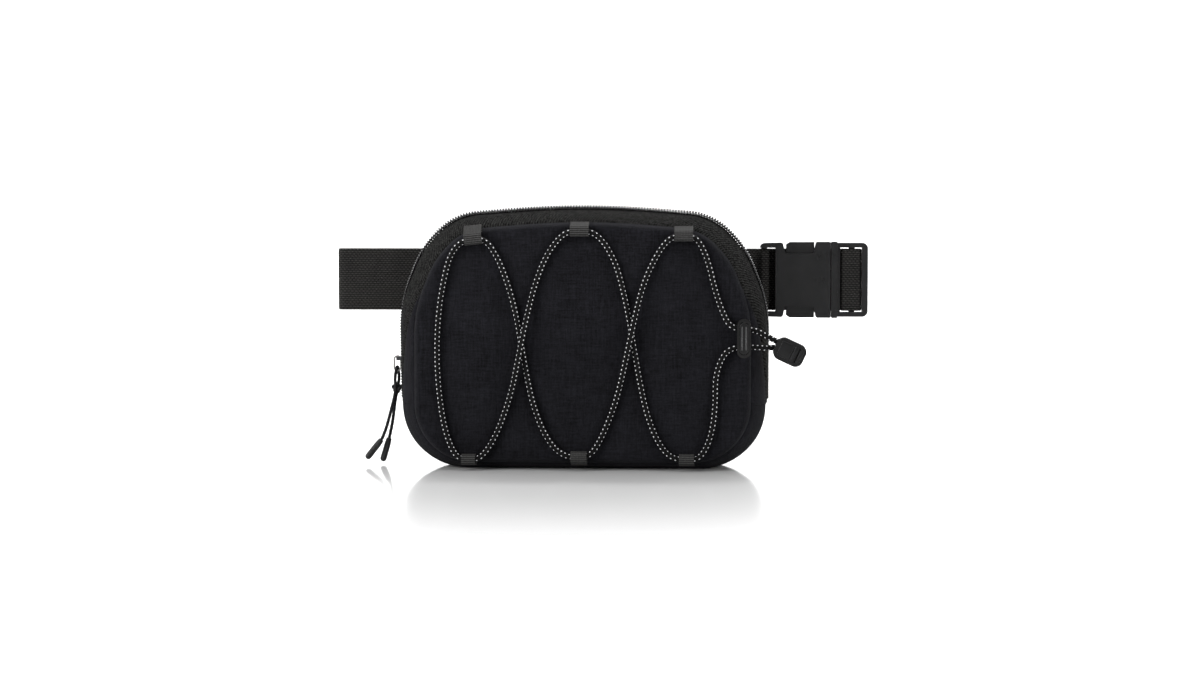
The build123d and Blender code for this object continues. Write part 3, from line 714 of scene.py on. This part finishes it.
female = moulded("buckle_female", 0.55)
male = moulded("buckle_male", 0.55)
arms = [moulded("release_arm_upper", 0.5), moulded("release_arm_lower", 0.5)]
lock_body = moulded("cord_lock_body", 0.85, segments=5)
lock_button = moulded("cord_lock_button", 0.7, segments=4)
end_shell = moulded("cord_end_shell", 0.7)
end_cap = moulded("cord_end_cap", 0.6)
slider_body = moulded("zip_slider_body", 0.3)
crown = moulded("zip_slider_crown", 0.2, angle=40)
stops = [moulded("zip_stop_left", 0.35), moulded("zip_stop_right", 0.35)]
spring = tidy(link(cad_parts["cord_lock_spring"].data.copy(), "cord_lock_spring_wire"), 2e-6)

# %% [markdown]
# ## Knot and cord tips
# The pull cord's two ends are tied together in a small overhand knot, and each ends in a moulded
# rubber tip. The knot is a tube along a trefoil. A tip is a tube whose radius swells and closes,
# with three finger dents pressed in its front.


# %% Knot and tips
KNOT = np.array([-113.9, -2.5, 46.5]) * MM
t = np.linspace(0, TAU, 121)[:-1]
trefoil = np.stack([np.sin(t) + 2 * np.sin(2 * t), -1.1 * np.sin(3 * t), np.cos(t) - 2 * np.cos(2 * t)], -1)
knot = tube("pull_cord_knot_tied", np.r_[trefoil, trefoil[:1]] * np.array([0.85, 1.15, 0.8]) * MM + KNOT,
            0.98 * MM, 14, braid(3, 3.0 * MM, 0.05 * MM))


def cord_tip(name, top, end, dents, facet):
    """Rubber tip from the cord to its rounded end, with oval dents or one long facet in front."""
    top, end = np.array(top) * MM, np.array(end) * MM
    reach = end + unit(end - top) * 1.9 * MM
    share = 0.5 - 0.5 * np.cos(np.linspace(0, math.pi, 61))
    line = top + (reach - top) * share[:, None]
    size = np.linalg.norm(reach - top)

    def profile(angle, along):
        u = np.clip(along / size, 0, 1)
        mouth = 0.78 + 0.22 * np.clip(u / 0.3, 0, 1) ** 0.7
        close = np.sqrt(np.clip(1 - np.clip((u - 0.86) / 0.14, 0, 1) ** 2, 0, 1))
        lip = np.clip(u / 0.02, 0, 1) ** 0.5
        r = 1.93 * MM * mouth * np.maximum(close, 0.02) * np.maximum(lip, 0.4)
        turn = (angle + math.pi) % TAU - math.pi
        for k in range(dents):
            ds = (along - size * (0.34 + 0.19 * k)) / (0.95 * MM)
            r = r - 0.42 * MM * np.exp(-(ds**4) - (turn / 0.75) ** 4)
        if facet:
            r = r - 0.4 * MM * np.exp(-(((u - 0.55) / 0.33) ** 4) - ((turn - 0.3) / 0.55) ** 2)
        return r

    return tube(name, line, 0.0, 28, profile)


tip_front = cord_tip("cord_tip_front_rubber", (-122.9, -5.0, 15.7), (-131.0, -5.4, 5.4), 3, False)
tip_back = cord_tip("cord_tip_back_rubber", (-118.9, -0.4, 16.3), (-122.6, -0.2, 3.6), 0, True)
print("knot and two tips")

# %% [markdown]
# ## Grip details
# The lock's button has two upright ridges for the thumb. The cord end has a raised face along its
# middle and two grooves across. They are thin pads set on the moulded faces.


# %% Ridges and raised face
LOCK = np.array([95.95, -38.9, 79.15]) * MM
ridge_places = LOCK + np.array([[-1.15, 0.05, 0.0], [1.15, 0.05, 0.0]]) * MM
up_axis = np.array([[0.0, 0.0, 1.0]] * 2)
front_axis = np.array([[0.0, -1.0, 0.0]] * 2)
lock_ridges = row_of("cord_lock_button_ridges", bead((7.2 * MM, 0.5 * MM, 0.42 * MM), 9, 10, 0.4),
                     ridge_places, up_axis, front_axis)


def pad(name, outline_xz, y, rise, soft=0.35):
    """Raised pad: an outline moved inwards as it rises by a quarter round. outline_xz is in metres."""
    closed = np.r_[outline_xz, outline_xz[:1]]
    outward = unit(np.stack([np.gradient(closed[:, 1]), -np.gradient(closed[:, 0])], -1))[:-1]
    centre = outline_xz.mean(0)
    if ((outline_xz - centre) * outward).sum() < 0:
        outward = -outward
    a = np.linspace(0, math.pi / 2, 6)[:, None]
    r = soft * MM
    ring = outline_xz[None] - outward[None] * (r * (1 - np.cos(a)))[..., None]
    depth = np.broadcast_to(y - (rise - r) - r * np.sin(a), ring.shape[:2])
    walls = np.concatenate([np.c_[outline_xz[:, 0], np.full(len(outline_xz), y + 0.2 * MM),
                                  outline_xz[:, 1]][None], np.dstack([ring[..., 0], depth, ring[..., 1]])])
    uv = np.concatenate([walls[..., ::2], walls[:, :1, ::2]], 1)
    return grid(name, walls, uv, wrap_cols=True, ends=True)


CLIP, CLIP_TURN = np.array([122.8, 71.0]), math.radians(25)


def on_clip(corners):
    """Outline on the cord end's face, given along its length and width in mm."""
    flat = rounded(corners, arc_points=8)
    c, s = math.cos(CLIP_TURN), math.sin(CLIP_TURN)
    return (CLIP + np.stack([flat[:, 0] * c + flat[:, 1] * s, -flat[:, 0] * s + flat[:, 1] * c], -1)) * MM


CLIP_Y, CLIP_RISE, CLIP_HALF = -35.0 * MM, 0.7 * MM, 4.6
CLIP_FACES = {"left": (-6.6, 1.2, 0.9, 0.5), "bar": (1.9, 0.4, 3.6, 0.4), "tip": (4.6, 0.5, 7.9, 3.2)}
clip_faces = []
for word, (near, near_round, far, far_round) in CLIP_FACES.items():
    corners = [(near, -CLIP_HALF, near_round), (far, -CLIP_HALF, far_round),
               (far, CLIP_HALF, far_round), (near, CLIP_HALF, near_round)]
    clip_faces.append(pad(f"cord_end_raised_{word}", on_clip(corners), CLIP_Y, CLIP_RISE))
print("grip details:", 1 + len(clip_faces))

# %% [markdown]
# ## Shader arithmetic
# A shader is a formula, so it is written as one. `Flow` is one value on its way between nodes, and
# plus, minus, times and so on add Math nodes. `Finish` is the material being made; its one method
# `node` makes any other node, sets it up and joins its inputs.


# %% Flow and Finish
class Flow:
    """A value in a shader. Arithmetic on it adds Math nodes."""

    def __init__(self, finish, socket):
        self.finish, self.socket = finish, socket

    def math(self, operation, *values):
        return self.finish.node("ShaderNodeMath", {"operation": operation}, *values)

    def __add__(self, other):
        return self.math("ADD", self, other)

    def __sub__(self, other):
        return self.math("SUBTRACT", self, other)

    def __rsub__(self, other):
        return self.math("SUBTRACT", other, self)

    def __mul__(self, other):
        return self.math("MULTIPLY", self, other)

    def __truediv__(self, other):
        return self.math("DIVIDE", self, other)

    __radd__, __rmul__ = __add__, __mul__

    def sin(self):
        return self.math("SINE", self)

    def abs(self):
        return self.math("ABSOLUTE", self)

    def fract(self):
        return self.math("FRACT", self)

    def floor(self):
        return self.math("FLOOR", self)

    def most(self, other):
        return self.math("MAXIMUM", self, other)

    def cut(self, low=0.0, high=1.0):
        return self.math("MINIMUM", self.math("MAXIMUM", self, low), high)

    def wave(self, pitch):
        """Rounded threads: |sin(pi * value / pitch)|."""
        return (self * (math.pi / pitch)).sin().abs()


class Finish:
    """A material being made."""

    def __init__(self, name):
        self.material = bpy.data.materials.new(name)
        self.material.use_nodes = True
        self.tree = self.material.node_tree
        self.tree.nodes.clear()

    def node(self, kind, settings, *values, out=0, at=(), **named):
        """Make a node, set it, and join or set its inputs by order, by number or by name."""
        made = self.tree.nodes.new(kind)
        for key, value in settings.items():
            setattr(made, key, value)
        inputs = list(enumerate(values)) + list(at)
        inputs += [(key.replace("_", " "), value) for key, value in named.items()]
        for key, value in inputs:
            if isinstance(value, Flow):
                self.tree.links.new(value.socket, made.inputs[key])
            else:
                made.inputs[key].default_value = value
        return Flow(self, made.outputs[out]) if len(made.outputs) else None

    def uv(self):
        """Across and along the piece, in metres."""
        place = self.node("ShaderNodeUVMap", {"uv_map": "UVMap"})
        return [self.node("ShaderNodeSeparateXYZ", {}, place, out=k) for k in (0, 1)]

    def place(self):
        """Position in the object's own frame, in metres."""
        return self.node("ShaderNodeTexCoord", {}, out="Object")

    def noise(self, size, detail=2.0, stretch=None, rough=0.5):
        """Noise from 0 to 1 whose spots are about size metres across."""
        where = self.place()
        if stretch:
            where = self.node("ShaderNodeVectorMath", {"operation": "MULTIPLY"}, where, stretch)
        return self.node("ShaderNodeTexNoise", {}, Vector=where, Scale=1 / size, Detail=detail,
                         Roughness=rough)

    def mix(self, factor, a, b):
        """Colour a where the factor is 0, b where it is 1."""
        a, b = (c if isinstance(c, Flow) else (*c, 1.0) for c in (a, b))
        return self.node("ShaderNodeMix", {"data_type": "RGBA"}, at=((0, factor), (6, a), (7, b)), out=2)

    def surface(self, colour, roughness, height=None, relief=0.0, **constant):
        """Principled shader with a bump of the given height in metres."""
        named = dict(constant)
        if height is not None:
            named["Normal"] = self.node("ShaderNodeBump", {}, Strength=1.0, Distance=relief, Height=height)
        base = colour if isinstance(colour, Flow) else (*colour, 1.0)
        made = self.node("ShaderNodeBsdfPrincipled", {}, Base_Color=base, Roughness=roughness, **named)
        self.node("ShaderNodeOutputMaterial", {}, Surface=made)
        return self.material


# %% [markdown]
# ## Cloth finishes
# Woven cloth is two sets of threads that pass over and under each other. Threads are waves across
# and along, and a checker of their signs says which set is on top. The yarn is not quite even, so
# noise at the size of a thread and of a hand breaks up colour and height. In each cloth here the
# colour also follows the threads' height, lighter on the crowns and darker in the grooves: a painted
# highlight and painted shade.


# %% Woven shell fabric
def woven(name, dark, light, pitch, relief, rough=0.82, sheen=0.02, fleck=0.5):
    """Plain weave: warp where sin u * sin v is positive, weft elsewhere."""
    f = Finish(name)
    u, v = f.uv()
    su, sv = (u * (math.pi / pitch)).sin(), (v * (math.pi / pitch)).sin()
    on_top = (su * sv * 4.0 + 0.5).cut()
    height = on_top * sv.abs() + (1 - on_top) * su.abs()
    yarn = f.noise(pitch * 1.6, 3.0)
    cloudy = f.noise(14 * MM, 3.0)
    wear = f.noise(45 * MM, 4.0)
    slub = f.noise(0.8 * MM, 2.0, (0.1, 1.0, 1.0)) + f.noise(0.8 * MM, 2.0, (1.0, 1.0, 0.1))
    # Colour: thread crowns lighter than the grooves between them, a painted highlight and painted shade;
    # the yarn, slub, cloud and wear noise are random tone.
    shade = (height * 0.25 + (yarn - 0.5) * (1.8 * fleck) + (slub - 1.0) * (1.6 * fleck)
             + (cloudy - 0.5) * 0.4 + (wear - 0.5) * 0.4 + 0.3).cut()
    colour = f.mix(shade, dark, light)
    bumpy = height + yarn * 0.7 + slub * 0.8
    roughness = (rough + (yarn - 0.5) * 0.2).cut(0.3, 1.0)
    return f.surface(colour, roughness, bumpy, relief, Sheen_Weight=sheen, Sheen_Roughness=0.5,
                     Specular_IOR_Level=0.06)


def twill(name, dark, light, pitch, relief, rough=0.8):
    """Diagonal ribs across the threads, as on a strong tape."""
    f = Finish(name)
    u, v = f.uv()
    rib = (u + v).wave(pitch)
    thread = (u - v * 0.5).wave(pitch * 0.6)
    yarn = f.noise(pitch * 0.6, 2.0)
    # Colour: ribs and threads lighter on their crowns and darker between them, a painted highlight and
    # painted shade; the yarn noise is random tone.
    shade = (rib * 0.6 + thread * 0.3 + (yarn - 0.5) * 2.2 - 0.15).cut()
    return f.surface(f.mix(shade, dark, light), (rough + (yarn - 0.5) * 0.2).cut(0.3, 1.0),
                     rib + thread * 0.5 + yarn * 0.4, relief, Specular_IOR_Level=0.04)


def webbing(name, dark, light, rib_across, rib_along, relief, rough=0.72):
    """Belt weave: cords side by side along the strap, each a chain of stitches, shifted by half from
    one to the next."""
    f = Finish(name)
    u, v = f.uv()
    column = (u * (1 / rib_across)).floor()
    shift = (column * 0.5).fract()
    cord = u.wave(rib_across)
    chain = (v * (1 / rib_along) + shift).fract()
    knuckle = (chain * math.pi).sin()
    yarn = f.noise(0.5 * MM, 2.0)
    height = cord * (0.35 + knuckle * 0.65)
    wear = f.noise(30 * MM, 3.0)
    # Colour: raised cords and knuckles lighter and the hollows darker, a painted highlight and painted
    # shade; the yarn and wear noise are random tone.
    shade = (height * 0.75 + (yarn - 0.5) * 0.9 + (wear - 0.5) * 0.35 - 0.1).cut()
    return f.surface(f.mix(shade, dark, light), (rough + (yarn - 0.5) * 0.25).cut(0.3, 1.0),
                     height + yarn * 0.25, relief, Specular_IOR_Level=0.1)


def ribbed(name, dark, light, rib, thread_pitch, relief, rough=0.75):
    """Grosgrain: round ribs across the tape, with the fine threads that bind them."""
    f = Finish(name)
    u, v = f.uv()
    ribs, binders = v.wave(rib), u.wave(thread_pitch)
    yarn = f.noise(0.4 * MM, 2.0)
    height = ribs * (0.6 + binders * 0.4)
    # Colour: rib crowns lighter and the grooves between them darker, a painted highlight and painted shade;
    # the yarn noise is random tone.
    shade = (height * 0.8 + (yarn - 0.5) * 0.9).cut()
    return f.surface(f.mix(shade, dark, light), (rough + (yarn - 0.5) * 0.2).cut(0.3, 1.0),
                     height + yarn * 0.3, relief, Specular_IOR_Level=0.08)


shell_cloth = woven("shell_fabric", (0.0016, 0.0016, 0.0021), (0.0155, 0.0155, 0.0195),
                    0.62 * MM, 0.16 * MM)
lining_cloth = woven("lining", (0.02, 0.021, 0.023), (0.06, 0.062, 0.066), 0.35 * MM, 0.05 * MM,
                     0.6, 0.02, 0.2)
tape_cloth = twill("zip_tape", (0.0008, 0.0008, 0.0008), (0.034, 0.034, 0.033), 1.7 * MM, 0.35 * MM)
grosgrain = ribbed("loop_tape", (0.002, 0.002, 0.002), (0.075, 0.074, 0.073),
                   1.15 * MM, 0.9 * MM, 0.3 * MM)
binding_tape = webbing("binding", (0.004, 0.004, 0.0045), (0.03, 0.03, 0.032),
                       0.8 * MM, 0.7 * MM, 0.1 * MM)
belt_weave = webbing("belt_webbing", (0.0025, 0.0024, 0.0023), (0.055, 0.053, 0.050),
                     1.35 * MM, 2.3 * MM, 0.4 * MM)
thread = woven("stitching_thread", (0.02, 0.02, 0.022), (0.07, 0.07, 0.075), 0.3 * MM, 0.04 * MM,
               0.6, 0.02, 0.2)
print("cloth finishes made")

# %% [markdown]
# ## Braided cord
# The lacing is a braid with white tracer threads that show as staggered dots. Round the cord there
# are four columns, so two show from any side. A dot is an ellipse in its own cell.


# %% Braid finishes
def braided(name, strands, pitch, dark, light, dots=False):
    """Crossing strands, the higher of two slanted waves, with or without white dots."""
    f = Finish(name)
    u, v = f.uv()
    left, right = u * strands + v / pitch, u * strands - v / pitch
    height = left.wave(1.0).most(right.wave(1.0))
    yarn = f.noise(0.4 * MM, 2.0)
    # Colour: strand crowns lighter and the gaps between strands darker, a painted highlight and painted
    # shade; the yarn noise is random tone and the white dots are the tracer threads.
    shade = ((height - 0.55) * 1.5 + (yarn - 0.5) * 0.8).cut()
    colour = f.mix(shade, dark, light)
    if dots:
        columns, every = 4, 2.7 * MM
        shift = ((u * columns).floor() * 0.5).fract()
        du = ((u * columns).fract() - 0.5) * (math.pi * CORD_D / columns / (0.34 * MM))
        dv = ((v / every + shift).fract() - 0.5) * (every / (0.42 * MM))
        dot = ((1.25 - (du * du + dv * dv)) * 3.0).cut()
        colour = f.mix(dot, colour, (0.78, 0.79, 0.81))
        height = height + dot * 0.4
    return f.surface(colour, 0.68, height + yarn * 0.3, 0.22 * MM, Specular_IOR_Level=0.08)


lacing_braid = braided("elastic_cord", 5, 2.6 * MM, (0.001, 0.001, 0.0011), (0.009, 0.009, 0.0095),
                       dots=True)
pull_braid = braided("pull_cord", 4, 1.6 * MM, (0.003, 0.003, 0.0035), (0.035, 0.035, 0.037))

# %% [markdown]
# ## Plastic, rubber and metal
# Moulded nylon has a fine spark texture and duller rubbed patches. The zip's coil is smooth and
# glossy. Metal is brushed: noise stretched along one way, in roughness and in a very small bump.


# %% Hard finishes
def moulded_plastic(name, dark, light, rough, grain=0.35 * MM, relief=0.02 * MM, coat=0.0, shine=0.35):
    """Spark-textured nylon with rubbed patches and a few light scuffs."""
    f = Finish(name)
    spark = f.noise(grain, 2.0)
    patch = f.noise(9 * MM, 4.0)
    scuff = ((f.noise(2.2 * MM, 5.0, (1.0, 1.0, 0.25), 0.7) - 0.66) * 9.0).cut()
    colour = f.mix((patch * 0.8 + scuff * 0.3 + (spark - 0.5) * 0.3).cut(), dark, light)
    roughness = (rough + (patch - 0.5) * 0.22 + (spark - 0.5) * 0.1 + scuff * 0.12).cut(0.1, 0.9)
    return f.surface(colour, roughness, spark, relief, Coat_Weight=coat, Specular_IOR_Level=shine)


def brushed_metal(name, dark, light, rough, along):
    """Metal with fine scratches along one way."""
    f = Finish(name)
    line = f.noise(0.5 * MM, 3.0, along)
    patch = f.noise(5 * MM, 3.0)
    colour = f.mix((line * 0.6 + patch * 0.5 - 0.05).cut(), dark, light)
    return f.surface(colour, (rough + (line - 0.5) * 0.25 + (patch - 0.5) * 0.15).cut(0.08, 0.8),
                     line, 0.008 * MM, Metallic=1.0)


def foam_finish():
    """Closed-cell foam: small pits."""
    f = Finish("foam")
    cells = f.node("ShaderNodeTexVoronoi", {}, Vector=f.place(), Scale=1 / (0.7 * MM))
    # Colour: darker in each pit and lighter on the rims between, a painted shade that follows the pits'
    # depth.
    return f.surface(f.mix(cells.cut(), (0.05, 0.05, 0.052), (0.12, 0.12, 0.125)), 0.9, cells, 0.15 * MM)


buckle_plastic = moulded_plastic("buckle_plastic", (0.005, 0.005, 0.0054), (0.013, 0.013, 0.0137),
                                 0.32, shine=0.28)
lock_plastic = moulded_plastic("lock_plastic", (0.002, 0.002, 0.0022), (0.005, 0.005, 0.0053),
                               0.15, 0.8 * MM, 0.001 * MM, 0.0, 0.3)
# The ridges are the button's black plastic made far lighter: a painted highlight along each ridge.
ridges_painted_highlight = moulded_plastic("lock_ridge_painted_highlight", (0.03, 0.03, 0.031), (0.07, 0.07, 0.072),
                                0.25, 0.8 * MM, 0.001 * MM)
clip_plastic = moulded_plastic("clip_plastic", (0.003, 0.003, 0.0032), (0.009, 0.009, 0.0095),
                               0.3, shine=0.25)
coil_nylon = moulded_plastic("zip_coil", (0.003, 0.003, 0.0032), (0.016, 0.016, 0.017),
                             0.24, 1.0 * MM, 0.002 * MM, 0.0, 0.45)
tip_rubber = moulded_plastic("tip_rubber", (0.004, 0.004, 0.0043), (0.013, 0.013, 0.0135),
                             0.5, 0.5 * MM, 0.03 * MM)
slider_metal = brushed_metal("slider_metal", (0.03, 0.03, 0.032), (0.09, 0.09, 0.095), 0.35, (1, 1, 0.1))
ring_metal = brushed_metal("ring_metal", (0.16, 0.155, 0.15), (0.40, 0.39, 0.37), 0.34, (1, 0.2, 0.2))
spring_steel = brushed_metal("spring_steel", (0.4, 0.4, 0.4), (0.6, 0.6, 0.6), 0.3, (0.2, 1, 0.2))
foam = foam_finish()
print("hard finishes made")

# %% [markdown]
# ## What moves with what
# Most pieces ride on a body of the frame: each hangs on an empty named after its body. The bag
# opens by folding along a line low on its front; the pieces that cross that line are only baked in
# place and hang on no body, and so is the belt.


# %% Dressing and riding
def dress(piece, material, body=None, nodes=()):
    """Give a piece its material, hide the nodes it stands for and hang it on its body.
    A piece on the fold is only baked in place; one with no body is left as it is.
    """
    piece.data.materials.clear()
    piece.data.materials.append(material)
    if nodes:
        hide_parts(*([nodes] if isinstance(nodes, str) else nodes))
    if body == "fold":
        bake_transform(piece)
    elif body:
        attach(piece, body)


DRESSED = (
    (shell_cloth, "shell_fabric", (
        (front_panel, "fold", "front_panel_lower", "front_panel_upper"),
        (side_wedges[0], "fold", "side_wedge_left"), (side_wedges[1], "fold", "side_wedge_right"))),
    (tape_cloth, "zip_tape", (
        (tape_front, "fold", "zip_tape_front"), (tape_rear, "bag", "zip_tape_rear"))),
    (shell_cloth, "shell_fabric", (
        (rear_gusset, "bag", "rear_gusset"), (bottom_gusset, "bag", "bottom_gusset"),
        (back_panel, "bag", "back_panel"))),
    (foam, "foam", ((front_foam, "fold", "front_foam"), (back_foam, "bag", "back_foam"))),
    (lining_cloth, "lining", (
        (front_lining, "fold", "lining_front"), (back_lining, "bag", "lining_back"),
        (gusset_lining, "bag", "lining_gusset"), (pocket, "bag", "inner_pocket"))),
    (binding_tape, "binding", ((binding, "bag", "pocket_binding"),)),
    (coil_nylon, "zip_coil", (
        (coil_front, "fold", "zip_coil_front"), (coil_rear, "bag", "zip_coil_rear"))),
)
for material, slot, worn_by in DRESSED:
    for piece, body, *nodes in worn_by:
        dress(piece, material, body, nodes)
for word, piece in loops.items():
    dress(piece, grosgrain, "front_flap" if word.startswith("top") else "bag",
          f"cord_loop_{word}")
dress(belt, belt_weave, None, "belt_webbing")
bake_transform(belt)
dress(stub, belt_weave, "bag", "buckle_webbing")
dress(keepers[0], binding_tape, "bag", "belt_keeper_left")
dress(keepers[1], binding_tape, "bag", "belt_keeper_right")
for piece, body in rows.values():
    dress(piece, thread, body)
dress(female, buckle_plastic, "bag")
dress(male, buckle_plastic, "buckle_male")
dress(arms[0], buckle_plastic, "arm_upper")
dress(arms[1], buckle_plastic, "arm_lower")
dress(lock_body, lock_plastic, "cord_lock")
dress(lock_button, lock_plastic, "lock_button")
dress(lock_ridges, ridges_painted_highlight, "lock_button")
for piece in (end_shell, end_cap, *clip_faces):
    dress(piece, clip_plastic, "front_flap")
dress(slider_body, slider_metal, "zip_slider")
dress(crown, slider_metal, "zip_slider")
for piece in stops:
    dress(piece, slider_metal, "bag")
dress(knot, pull_braid, "pull_cord", "pull_cord_knot")
dress(tip_front, tip_rubber, "pull_cord", "cord_tip_front")
dress(tip_back, tip_rubber, "pull_cord", "cord_tip_back")
dress(shock_cord, lacing_braid, "fold", "shock_cord")
dress(pull_cord, pull_braid, "pull_cord", "pull_cord")
dress(spring, spring_steel, "cord_lock", "cord_lock_spring")
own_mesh(spring)
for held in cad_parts["zip_puller_ring"].material_slots:
    held.material = ring_metal

# %% [markdown]
# ## Studio
# A white floor runs up into a white wall with no corner. Soft lights stand left, above, right and
# behind, and one more lights the wall. Near the bag the floor has a trace of gloss, so the bag is
# faintly mirrored in it, and its colour is darker there: a painted shade round the bag.


# %% Floor and lights
def cove(reach=12.0, turn=2.6, radius=0.8, top=4.0):
    """Floor, quarter round and wall as one strip of points, carried across."""
    a = np.linspace(0, math.pi / 2, 12)
    corner = np.stack([turn + radius * np.sin(a), radius - radius * np.cos(a)], -1)
    line = np.r_[[(-reach, 0.0)], corner, [(turn + radius, top)]]
    x = np.array([-reach, reach])
    points = np.stack(np.broadcast_arrays(x[None, :], line[:, :1], line[:, 1:]), -1)
    return grid("studio_floor", points, points[..., :2])


floor = cove()
studio_white = Finish("studio_white")
dust = studio_white.noise(0.4, 3.0)
far_off = studio_white.node("ShaderNodeVectorMath", {"operation": "LENGTH"}, studio_white.place(),
                            out="Value")
# Near the bag the floor is glossier and its colour darker (0.62 against 0.95): real gloss, and a painted
# shade round the bag.
gloss_and_painted_shade = (far_off * 1.6 - 0.1).cut()
floor_colour = studio_white.mix(gloss_and_painted_shade, (0.62, 0.62, 0.62), (0.95, 0.95, 0.95))
floor_rough = (0.03 + dust * 0.02 + gloss_and_painted_shade * 0.6).cut(0.02, 0.7)
floor.data.materials.append(studio_white.surface(floor_colour, floor_rough))


def soft_light(name, place, size, power, toward=AIM):
    """Square light that faces the bag, or another point."""
    data = bpy.data.lights.new(name, "AREA")
    data.shape = "SQUARE"
    data.size = size
    data.energy = power
    light = bpy.data.objects.new(name, data)
    bpy.context.scene.collection.objects.link(light)
    light.location = place
    light.rotation_euler = (Vector(place) - Vector(toward)).to_track_quat("Z", "Y").to_euler()


soft_light("left_softbox", (-1.4, -1.1, 0.75), 1.1, 30)
soft_light("top_softbox", (0.1, 0.1, 1.8), 1.3, 24)
soft_light("right_softbox", (1.5, -0.8, 0.6), 0.8, 12)
soft_light("wall_light", (0.0, 1.2, 2.6), 1.6, 130, toward=(0.0, 3.4, 0.7))
soft_light("rear_softbox", (0.6, 1.6, 1.2), 1.0, 12)
world = bpy.data.worlds.new("studio")
world.use_nodes = True
world.node_tree.nodes["Background"].inputs["Color"].default_value = (1, 1, 1, 1)
world.node_tree.nodes["Background"].inputs["Strength"].default_value = 0.30
bpy.context.scene.world = world
bpy.context.scene.view_settings.view_transform = "Standard"
